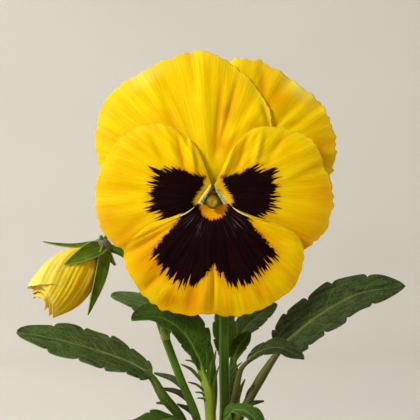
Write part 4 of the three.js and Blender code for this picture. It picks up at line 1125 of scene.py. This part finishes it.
def bud_body(rows_out=60, rows_back=22, sides=120):
    """The furled petals' closed core: out along the bud, over its end and back into its mouth."""
    back = np.linspace(0, 1, rows_back)[1:]
    s = np.concatenate([np.linspace(0, CORE_END, rows_out), blend(CORE_END, CORE_FLOOR, back)])
    shrink = np.concatenate([np.ones(rows_out), blend(1.0, 0.2, smooth(back) ** 0.8)])
    s, angle = np.meshgrid(s, full_turn(sides), indexing="ij")
    return tube(on_bud(s, angle, shrink[:, None] * CORE_SHRINK, bud_pleats(s, angle)), bud_place(s, angle))


def bud_roll(start_turn, turns, s_from, girth, flare, seed, rows=90, columns=170):
    """A petal rolled round the bud: it leaves the wall, goes round while it winds in, and its uneven
    lip curls out. The lip reaches further at both ends of the mouth's width."""
    w, v = np.meshgrid(np.linspace(0, 1, rows), np.linspace(0, 1, columns), indexing="ij")
    angle = start_turn + 2 * np.pi * turns * v
    uneven = ripple(v, 6, 12, seed, 4)
    reach = 0.95 + 0.05 * np.cos(2 * angle) + 0.02 * uneven + 0.1 * (1 - girth)
    reach = blend(0.72, reach, smooth(v / 0.12) * smooth((1 - v) / 0.1))
    s = blend(s_from, reach, w)
    end = ramp(s, 0.62, 1.0)
    frill = (0.6 * uneven + 0.12 * ripple(v, 18, 30, seed + 1, 4)) * end
    stand = 0.1 + flare * end ** 3 + frill + bud_pleats(s, angle)
    middle = on_bud(s, angle, girth * (1 - 0.14 * v * end), stand)
    return sheet(middle, 0.3 - 0.14 * end, {"place": bud_place(s, angle), "rim": ramp(w, 0.88, 1.0)})


def bud_calyx():
    """A ribbed hub turned round the bud's axis, five sepals and four ears."""
    rows = np.linspace(0, 1, 24)[:, None]
    angle = full_turn(40)
    radius = stepped([1.2, 2.7, 3.1, 2.4, 1.3], rows) * (1 + 0.05 * np.cos(5 * angle))
    rings = round_bud(stepped([-2.6, -1.4, 0, 1.4, 2], rows), radius, angle)
    ears = [stem([BUD_HUB, blend(BUD_HUB, tip, 0.6), tip], [1, 1.2, 0.4], 14, 12) for tip in BUD_EARS]
    return [tube(rings, np.zeros_like(rings)), *(sepal_patch(*sepal) for sepal in BUD_SEPALS), *ears]


def bud_finish():
    """Painted light in pale yellow on the bud's upper left, painted shade in ochre on its lower right
    and partly in its fold lines, and a duller yellow at its base. under is how many millimetres a
    place lies to the lower right of its middle."""
    finish = Finish("bud petals", 0.06, 0.1)
    s, c, d = finish.surface()
    streaks = finish.noise(finish.joined(c * 5.5, d * 5.5, s * 1.1), detail=4.0, roughness=0.6)
    fine = finish.noise(finish.joined(c * 19.0, d * 19.0, s * 2.2))
    lines = finish.noise(finish.joined(c * 9.0, d * 9.0, s * 0.8), detail=2.0).step(0.57, 0.68)
    x, _, z = finish.parts(finish.place())
    middle = blend(BUD_HUB, BUD_MOUTH, 0.5)
    under = x * 0.9 - z * 0.5 - float(middle[0] * 0.9 - middle[2] * 0.5)
    lit = under.step(1.0, -11.0)
    finish.tone = finish.mixed((streaks * 0.8 + fine * 0.5).step(0.45, 0.8), (255, 230, 52), (238, 190, 4))
    # Fold lines, partly painted shade: fainter on the painted-lit upper left.
    finish.wash(lines * s.step(0.15, 0.45) * (0.6 - lit * 0.4), (196, 138, 8))
    finish.wash(finish.mark("rim") * (0.2 + fine * 0.6), (255, 238, 110))
    finish.wash(s.step(0.3, 0.0) * 0.6, (200, 180, 20))
    # Painted shade in ochre on the lower right.
    finish.wash(under.step(0.0, 9.0) * 0.7, (196, 136, 0))
    # Painted light in pale yellow on the upper left.
    finish.wash(lit * 0.6, (255, 236, 128))
    return finish.paint(0.5 + fine * 0.15, finish.bump(streaks * 0.6 + fine * 0.6, 0.3, 0.8))


# ---------------------------------------------------------------- crown, soil and pot

COLLAR_FOOT = POT_HEIGHT - COLLAR_HEIGHT
WALL_TOP_RADIUS = POT_RIM_RADIUS - 7
INNER_TOP_RADIUS = POT_RIM_RADIUS - POT_WALL - 1
INNER_FOOT_RADIUS = POT_FOOT_RADIUS - POT_WALL
CORNER_ROUND = 0.9
SOIL_HOLE = CROWN_RADIUS + CLEARANCE
SOIL_RINGS = 90
SOIL_LUMPS = 620


def pot_inner_radius(z):
    """The inside of the pot narrows evenly from the rim to the floor."""
    return np.interp(z, [POT_FLOOR, POT_HEIGHT], [INNER_FOOT_RADIUS, INNER_TOP_RADIUS])


def crown_patch():
    """The rootstock: leaf bases round it as ribs that swell and fade."""
    profile = spline([(0.4, CROWN_FOOT), (CROWN_RADIUS * 0.55, CROWN_FOOT),
                      (CROWN_RADIUS * 0.9, CROWN_FOOT + 6), (CROWN_RADIUS, SOIL_TOP),
                      (CROWN_RADIUS * 0.93, CROWN_TOP - 2.5), (CROWN_RADIUS * 0.7, CROWN_TOP - 0.5),
                      (0.4, CROWN_TOP)], np.linspace(0, 1, 70))

    def relief(radius, height, angle):
        ribs = 0.05 * np.cos(9 * angle + 0.12 * height) + 0.03 * np.cos(17 * angle - 0.2 * height)
        return radius * (1 + ribs - 0.05), height

    return turned(profile, 96, relief=relief)


def soil_height(x, y):
    """Low swells of the soil's surface, and its fall from the crown to the pot's wall."""
    swell = np.sin(0.31 * x + 1.3) * np.cos(0.27 * y) + 0.6 * np.sin(0.53 * y - 0.22 * x)
    return SOIL_TOP + SOIL_RELIEF * swell - SOIL_FALL * (np.hypot(x, y) / INNER_TOP_RADIUS) ** 2


def soil_patches():
    """The soil fills the pot round the crown. Its surface carries small crumbs, and loose lumps of
    twenty faces lie on it."""
    foot, shoulder = POT_FLOOR + CLEARANCE, SOIL_TOP - SOIL_FALL - 2
    edge = pot_inner_radius(shoulder) - CLEARANCE
    body = [(0.5, foot), (pot_inner_radius(foot) - CLEARANCE, foot), (edge, shoulder)]
    top = [(radius, 0) for radius in np.linspace(edge * 0.99, SOIL_HOLE, SOIL_RINGS)]
    under = [(SOIL_HOLE * 0.9, CROWN_FOOT + 6), (SOIL_HOLE * 0.55, CROWN_FOOT - CLEARANCE),
             (0.5, CROWN_FOOT - CLEARANCE)]
    on_top = slice(len(body), len(body) + SOIL_RINGS)

    def relief(radius, height, angle):
        x, y = radius * np.cos(angle), radius * np.sin(angle)
        crumbs = (0.32 * np.sin(1.9 * x + 0.7 * y) * np.sin(1.7 * y - 0.9 * x)
                  + 0.28 * np.sin(3.3 * x - 2.1 * y + 1) * np.cos(2.9 * y + 1.3 * x))
        height = height.copy()
        height[on_top] = (soil_height(x, y) + crumbs)[on_top]
        return radius, height

    draw = np.random.default_rng(7)
    distance = np.sqrt(draw.uniform((SOIL_HOLE + 1) ** 2, (edge - 1.6) ** 2, SOIL_LUMPS))
    angle = draw.uniform(0, 2 * np.pi, SOIL_LUMPS)
    x, y = distance * np.cos(angle), distance * np.sin(angle)
    size = draw.uniform(0.35, 1.15, SOIL_LUMPS) ** 1.4
    middles = stacked(x, y, soil_height(x, y) + 0.25 * size)
    return [turned([*body, *top, *under], 200, relief=relief), lump_patch(middles, size, draw)]


def lump_patch(middles, sizes, draw, sides=5):
    """Loose crumbs as one patch: each is two rings of five with a pole at both ends, pushed about by
    drawn shares of its size."""
    rings = [stacked(np.cos(full_turn(sides) + turn), np.sin(full_turn(sides) + turn), height) * 0.9
             for turn, height in ((0, -0.5), (0.6, 0.5))]
    shape = np.concatenate([*rings, [[0, 0, -0.95], [0, 0, 0.95]]])
    pushed = draw.uniform(0.65, 1.3, (len(middles), len(shape), 1))
    points = shape * sizes[:, None, None] * pushed + middles[:, None]
    return tubes(points[:, :-2].reshape(-1, 2, sides, 3), points[:, -2:])


def rounded_profile(corners, radius, steps=5, longest=6):
    """Each corner is replaced by a quadratic curve from one of its sides to the other, and a long
    side is divided."""
    points = [corners[0]]
    for before, corner, after in zip(corners, corners[1:], corners[2:]):
        near, far = length_of(corner - before), length_of(after - corner)
        cut = min(radius, near * 0.45, far * 0.45)
        a = corner + (before - corner) * cut / near
        b = corner + (after - corner) * cut / far
        t = np.linspace(0, 1, steps)[:, None]
        points.extend((1 - t) ** 2 * a + 2 * t * (1 - t) * corner + t * t * b)
        parts = int(far // longest)
        end = after + (corner - after) * min(radius, far * 0.45) / far
        points.extend(blend(b, end, k / parts) for k in range(1, parts))
    return [*points, corners[-1]]


def pot_piece(finish):
    """The pot's wall turned round from its foot over the collar and rim to its floor, with small
    rounds at the corners, and the drain holes cut through the floor."""
    corners = [(0.5, 0), (POT_FOOT_RADIUS - 1.5, 0), (POT_FOOT_RADIUS, 1.5), (WALL_TOP_RADIUS, COLLAR_FOOT),
               (POT_RIM_RADIUS - 3, COLLAR_FOOT), (POT_RIM_RADIUS - 2, COLLAR_FOOT + 1),
               (POT_RIM_RADIUS, POT_HEIGHT - 1.5), (POT_RIM_RADIUS - 1.5, POT_HEIGHT),
               (INNER_TOP_RADIUS + 1.2, POT_HEIGHT), (pot_inner_radius(POT_HEIGHT - 1.2), POT_HEIGHT - 1.2),
               (INNER_FOOT_RADIUS, POT_FLOOR), (0.5, POT_FLOOR)]
    profile = rounded_profile(np.array(corners, float), CORNER_ROUND)
    cut_drains(solid_piece("pot.body", [turned(profile, 160)], [finish]))


def cut_drains(piece):
    """Cuts the drain holes with a cutter that is taken away again."""
    low, high = -POT_FLOOR, 2 * POT_FLOOR
    bore = [(0.5, low), (DRAIN_RADIUS, low), (DRAIN_RADIUS, high), (0.5, high)]
    directions = 360 * (np.arange(DRAIN_COUNT) + 0.25) / DRAIN_COUNT
    cutter = meshed("drain_cutter", [turned(bore, 32, on_crown(direction, DRAIN_DISTANCE, 0))
                                     for direction in directions], [])
    modifier = piece.modifiers.new("drain", "BOOLEAN")
    modifier.object = cutter
    modifier.operation = "DIFFERENCE"
    modifier.solver = "EXACT"
    cut = bpy.data.meshes.new_from_object(piece.evaluated_get(bpy.context.evaluated_depsgraph_get()))
    piece.modifiers.clear()
    piece.data = cut
    bpy.data.objects.remove(cutter)


def soil_finish():
    """Dark, damp potting soil: fibres and paler specks in brown."""
    finish = Finish("potting soil", 0.25)
    crumb = finish.noise(finish.place(), 0.55, 6.0, 0.7)
    fibre = finish.noise(finish.place(), 2.2, 4.0, 0.6)
    finish.tone = finish.mixed(crumb.step(0.35, 0.7), (38, 26, 18), (86, 62, 44))
    finish.wash(fibre.step(0.64, 0.74), (128, 98, 70))
    return finish.paint(0.88 + crumb * 0.1, finish.bump(crumb + fibre * 0.6, 0.7, 0.9))


def terracotta_finish():
    """Fired clay: warm orange-brown, faint turning lines, pale bloom of lime low on the wall."""
    finish = Finish("terracotta", 0.22)
    place = finish.place()
    x, y, z = finish.parts(place)
    cloud = finish.noise(place, 0.035, 5.0, 0.6)
    grit = finish.noise(place, 2.2, 3.0, 0.6)
    lines = finish.noise(finish.joined(x * 0.01, y * 0.01, z * 1.6))
    lime = finish.noise(place, 0.05, 6.0, 0.7) * (1.15 - z * 0.006)
    finish.tone = finish.mixed((cloud * 0.75 + lines * 0.4).step(0.4, 0.75), (172, 98, 62), (196, 124, 84))
    finish.wash(lime.step(0.52, 0.8) * 0.5, (222, 188, 160))
    finish.wash(grit.step(0.66, 0.74) * 0.4, (120, 66, 44))
    return finish.paint(0.78 + grit * 0.16, finish.bump(grit * 0.6 + lines * 0.7, 0.35, 0.7))


def stigma_finish():
    """Olive, lighter in its hollow and darker round the rim."""
    finish = Finish("stigma", 0.15, 0.1, 0.5)
    radius, _, _ = finish.surface()
    cloud = finish.noise(finish.place(), 0.9)
    finish.tone = finish.mixed(cloud.step(0.3, 0.7), (176, 150, 26), (142, 118, 16))
    finish.wash(radius.step(1.15, 1.6) * 0.75, (104, 86, 8))
    return finish.paint(0.42 + cloud * 0.1, finish.bump(cloud, 0.15, 0.8))


def plain_finish(name, first, second, scale, bump_mm, scatter=0.0, depth_mm=1.0):
    """Two close colours clouded into each other, with a fine grain."""
    finish = Finish(name, 0.1, scatter, depth_mm)
    cloud = finish.noise(finish.place(), scale, 4.0, 0.6)
    finish.tone = finish.mixed(cloud.step(0.35, 0.65), first, second)
    return finish.paint(0.6 + cloud * 0.12, finish.bump(cloud, bump_mm, 0.8))


# ---------------------------------------------------------------- the plant in its pot

yellow = dict(deep=(244, 190, 0), clear=(255, 222, 0), pale=(252, 232, 96), ochre_shade_and_halo=(228, 160, 0))
upper_petals = petal_finish("upper petals", throat=(206, 186, 0), throat_reach=15.0, **yellow)
side_petals = petal_finish("side petals", throat=(255, 226, 8), throat_reach=7.0, spike_rate=0.55, **yellow)
lower_petal = petal_finish("lower petal", deep=(246, 182, 0), clear=(255, 220, 0), pale=(250, 214, 30),
                           ochre_shade_and_halo=(222, 142, 0), throat=(255, 172, 0), throat_reach=9.0)
petal_finishes = {"upper": upper_petals, "side": side_petals, "lower": lower_petal}
leaf_finishes = {tint: leaf_finish(f"{tint} leaf", *colours) for tint, colours in LEAF_TINTS.items()}
petioles = {tint: stalk_finish(tint, *colours) for tint, colours in PETIOLE_TINTS.items()}
bract_green = stalk_finish("bract", (176, 192, 96), (138, 162, 62), (214, 220, 160))
flower_stalks = stalk_finish("flower stalk", (98, 140, 10), (54, 90, 0), (152, 180, 56))
crown_green = stalk_finish("crown", (92, 108, 34), (54, 66, 22), (150, 148, 92), 0.6)
calyx_green = sepal_finish("sepals", (104, 132, 12), (58, 82, 2), (176, 190, 90))
cream = plain_finish("beard", (246, 238, 176), (222, 210, 120), 1.2, 0.1, 0.15, 0.8)
anther_brown = plain_finish("anthers", (136, 74, 16), (90, 40, 10), 0.8, 0.2)
throat_olive = plain_finish("receptacle", (168, 146, 30), (128, 108, 16), 0.6, 0.2)
bud_yellow = bud_finish()

bloom_stalk_points = from_crown(BLOOM_STALK_FOOT, [
    at(224, 420, 1), at(224, 370, 3), at(224, 316, 5), at(223, 250, 6.5), in_bloom(2.6, -7, 22.6),
    in_bloom(1.6, 0.4, 22.4), in_bloom(0.7, 2.7, 19.8), in_bloom(0.1, 1.1, 16.8),
    in_bloom(0, 0, 14.6), in_bloom(0, 0, RECEPTACLE_BACK + CLEARANCE)])
BRACT_ROOT = at(165, 337, 2)
bud_stalk_points = from_crown(BUD_STALK_FOOT, [
    at(197, 420, 0.5), at(181, 380, 1.5), BRACT_ROOT, at(150, 292, 3), at(137, 267, 3.6),
    at(126, 255, 3.4), at(118, 250.5, 2.8), at(109, 247.8, 2.1)])
bracts = [stem([BRACT_ROOT, blend(BRACT_ROOT, tip, 0.5), tip], [0.8, 1.0, 0.3], 20, 12, flat=0.5)
          for tip in (at(161, 325, -2), at(171, 327, 3.5))]
bracts.append(stem([at(166.5, 340, 2), at(165, 336, 2), at(163.5, 332, 2)], [1.3, 1.7, 1.55, 1.2], 24, 20))
solid_piece("bloom_stalk.stem", [stem(bloom_stalk_points, [BLOOM_STALK_RADIUS] * 2, 220, 24, STALK_RIBS, 4)],
            [flower_stalks])
solid_piece("bud_stalk.stem", [stem(bud_stalk_points, [BUD_STALK_RADIUS] * 2, 160, 24, STALK_RIBS, 4)],
            [flower_stalks])
solid_piece("bud_stalk.bracts", bracts, [bract_green])

for leaf_name, leaf_spec in LEAVES.items():
    make_leaf(leaf_name, leaf_finishes, petioles, **leaf_spec)
solid_piece("crown.rootstock", [crown_patch()], [crown_green])

for petal_name in PETALS:
    kind = petal_name.split("_")[1]
    solid_piece(f"{petal_name}.blade", [petal_patch(petal_name)], [petal_finishes[kind]])
spur = stem([in_bloom(0, -3.2, 4.4), in_bloom(0, -4.6, 7.2), in_bloom(0, -5.8, 10), in_bloom(0, -6.2, 14.5)],
            [0.7, 1.5, 1.5, 1.4, 0.6], 40, 20)
solid_piece("petal_lower.spur", [spur], [lower_petal])
solid_piece("petal_lower.hem", hem_patches(), [cream])
for beard_seed, petal_name in enumerate(("petal_side_left", "petal_side_right")):
    solid_piece(f"{petal_name}.beard", beard_patches(petal_name, beard_seed), [cream])

solid_piece("bloom_calyx.sepals", bloom_calyx(), [calyx_green, throat_olive])
solid_piece("pistil.stigma", [pistil_patch()], [stigma_finish()])
solid_piece("anthers.ring", anther_patches(), [anther_brown])
solid_piece("bud_petals.core", [bud_body()], [bud_yellow])
solid_piece("bud_petals.rolls", [bud_roll(*roll) for roll in BUD_ROLLS], [bud_yellow])
solid_piece("bud_calyx.sepals", bud_calyx(), [calyx_green])
solid_piece("soil.surface", soil_patches(), [soil_finish()])
pot_piece(terracotta_finish())

# ---------------------------------------------------------------- floor, light and camera

BOWL_FLOOR = 1300
BOWL_WALL = 2300
BOWL_HEIGHT = 2200
BOWL_SIDES = 128
AMBIENT = 0.16


def studio_bowl():
    """A pale floor that bends up into a wall all round, turned from a quarter-ellipse."""
    t = np.linspace(0, np.pi / 2, 40)
    bend = stacked(blend(BOWL_FLOOR, BOWL_WALL, np.sin(t)), BOWL_HEIGHT * 0.5 * (1 - np.cos(t)))
    profile = np.concatenate([[(1.0, 0)], bend, [(BOWL_WALL, BOWL_HEIGHT)]])[:, None]
    angle = full_turn(BOWL_SIDES)
    rings = stacked(profile[..., 0] * np.cos(angle), profile[..., 0] * np.sin(angle), profile[..., 1])
    quads = grid_quads(len(profile), BOWL_SIDES, closed=True)
    finish = Finish("studio paper", 0.1)
    finish.tone = finish.mixed(finish.noise(finish.place(), 0.0016, 2.0).step(0.3, 0.7),
                               (226, 221, 211), (221, 216, 206))
    meshed("studio_bowl", [Patch(rings.reshape(-1, 3), quads, NO_TRIANGLES, {}, 0)],
                    [finish.paint(0.9)])


def area_light(name, place, size, watts, colour, aim=(0, 0, 0.17)):
    """A soft square light at place, in metres, that looks at aim: it is tilted from upright, then
    turned to its heading round Z."""
    data = bpy.data.lights.new(name, "AREA")
    data.size = size
    data.energy = watts
    data.color = colour
    light = bpy.data.objects.new(name, data)
    light.location = place
    back = unit(np.array(place) - aim)
    light.rotation_euler = (np.arccos(back[2]), 0, np.arctan2(back[0], -back[1]))
    bpy.context.scene.collection.objects.link(light)


def camera(sensor=36):
    """Level, looking along +Y from the photograph's distance. The lens shows FRAME_PX pixels of
    MM_PER_PX at the bloom's face."""
    data = bpy.data.cameras.new("camera")
    data.sensor_width = sensor
    data.lens = sensor * VIEW_DISTANCE / (FRAME_PX * MM_PER_PX)
    data.clip_start, data.clip_end = 0.01, 20
    taken = bpy.data.objects.new("camera", data)
    taken.location = (VIEW_AXIS_X * MM, (BLOOM_Y - VIEW_DISTANCE) * MM, VIEW_AXIS_Z * MM)
    taken.rotation_euler = (np.pi / 2, 0, 0)
    bpy.context.scene.collection.objects.link(taken)
    bpy.context.scene.camera = taken


studio_bowl()
area_light("key", (-1.0, -0.85, 1.0), 0.35, 19, (1.0, 0.99, 0.97))
area_light("fill", (0.6, -1.4, 0.4), 1.0, 2.2, (1.0, 0.97, 0.93))
area_light("wall", (-0.9, 0.5, 1.5), 1.0, 22, (1.0, 0.99, 0.98), aim=(-0.6, 1.9, 0.4))
world = bpy.data.worlds.new("pale studio")
world.use_nodes = True
sky = world.node_tree.nodes["Background"].inputs
sky["Color"].default_value = linear((238, 236, 232))
sky["Strength"].default_value = AMBIENT
bpy.context.scene.world = world
bpy.context.scene.view_settings.view_transform = "Standard"
camera()
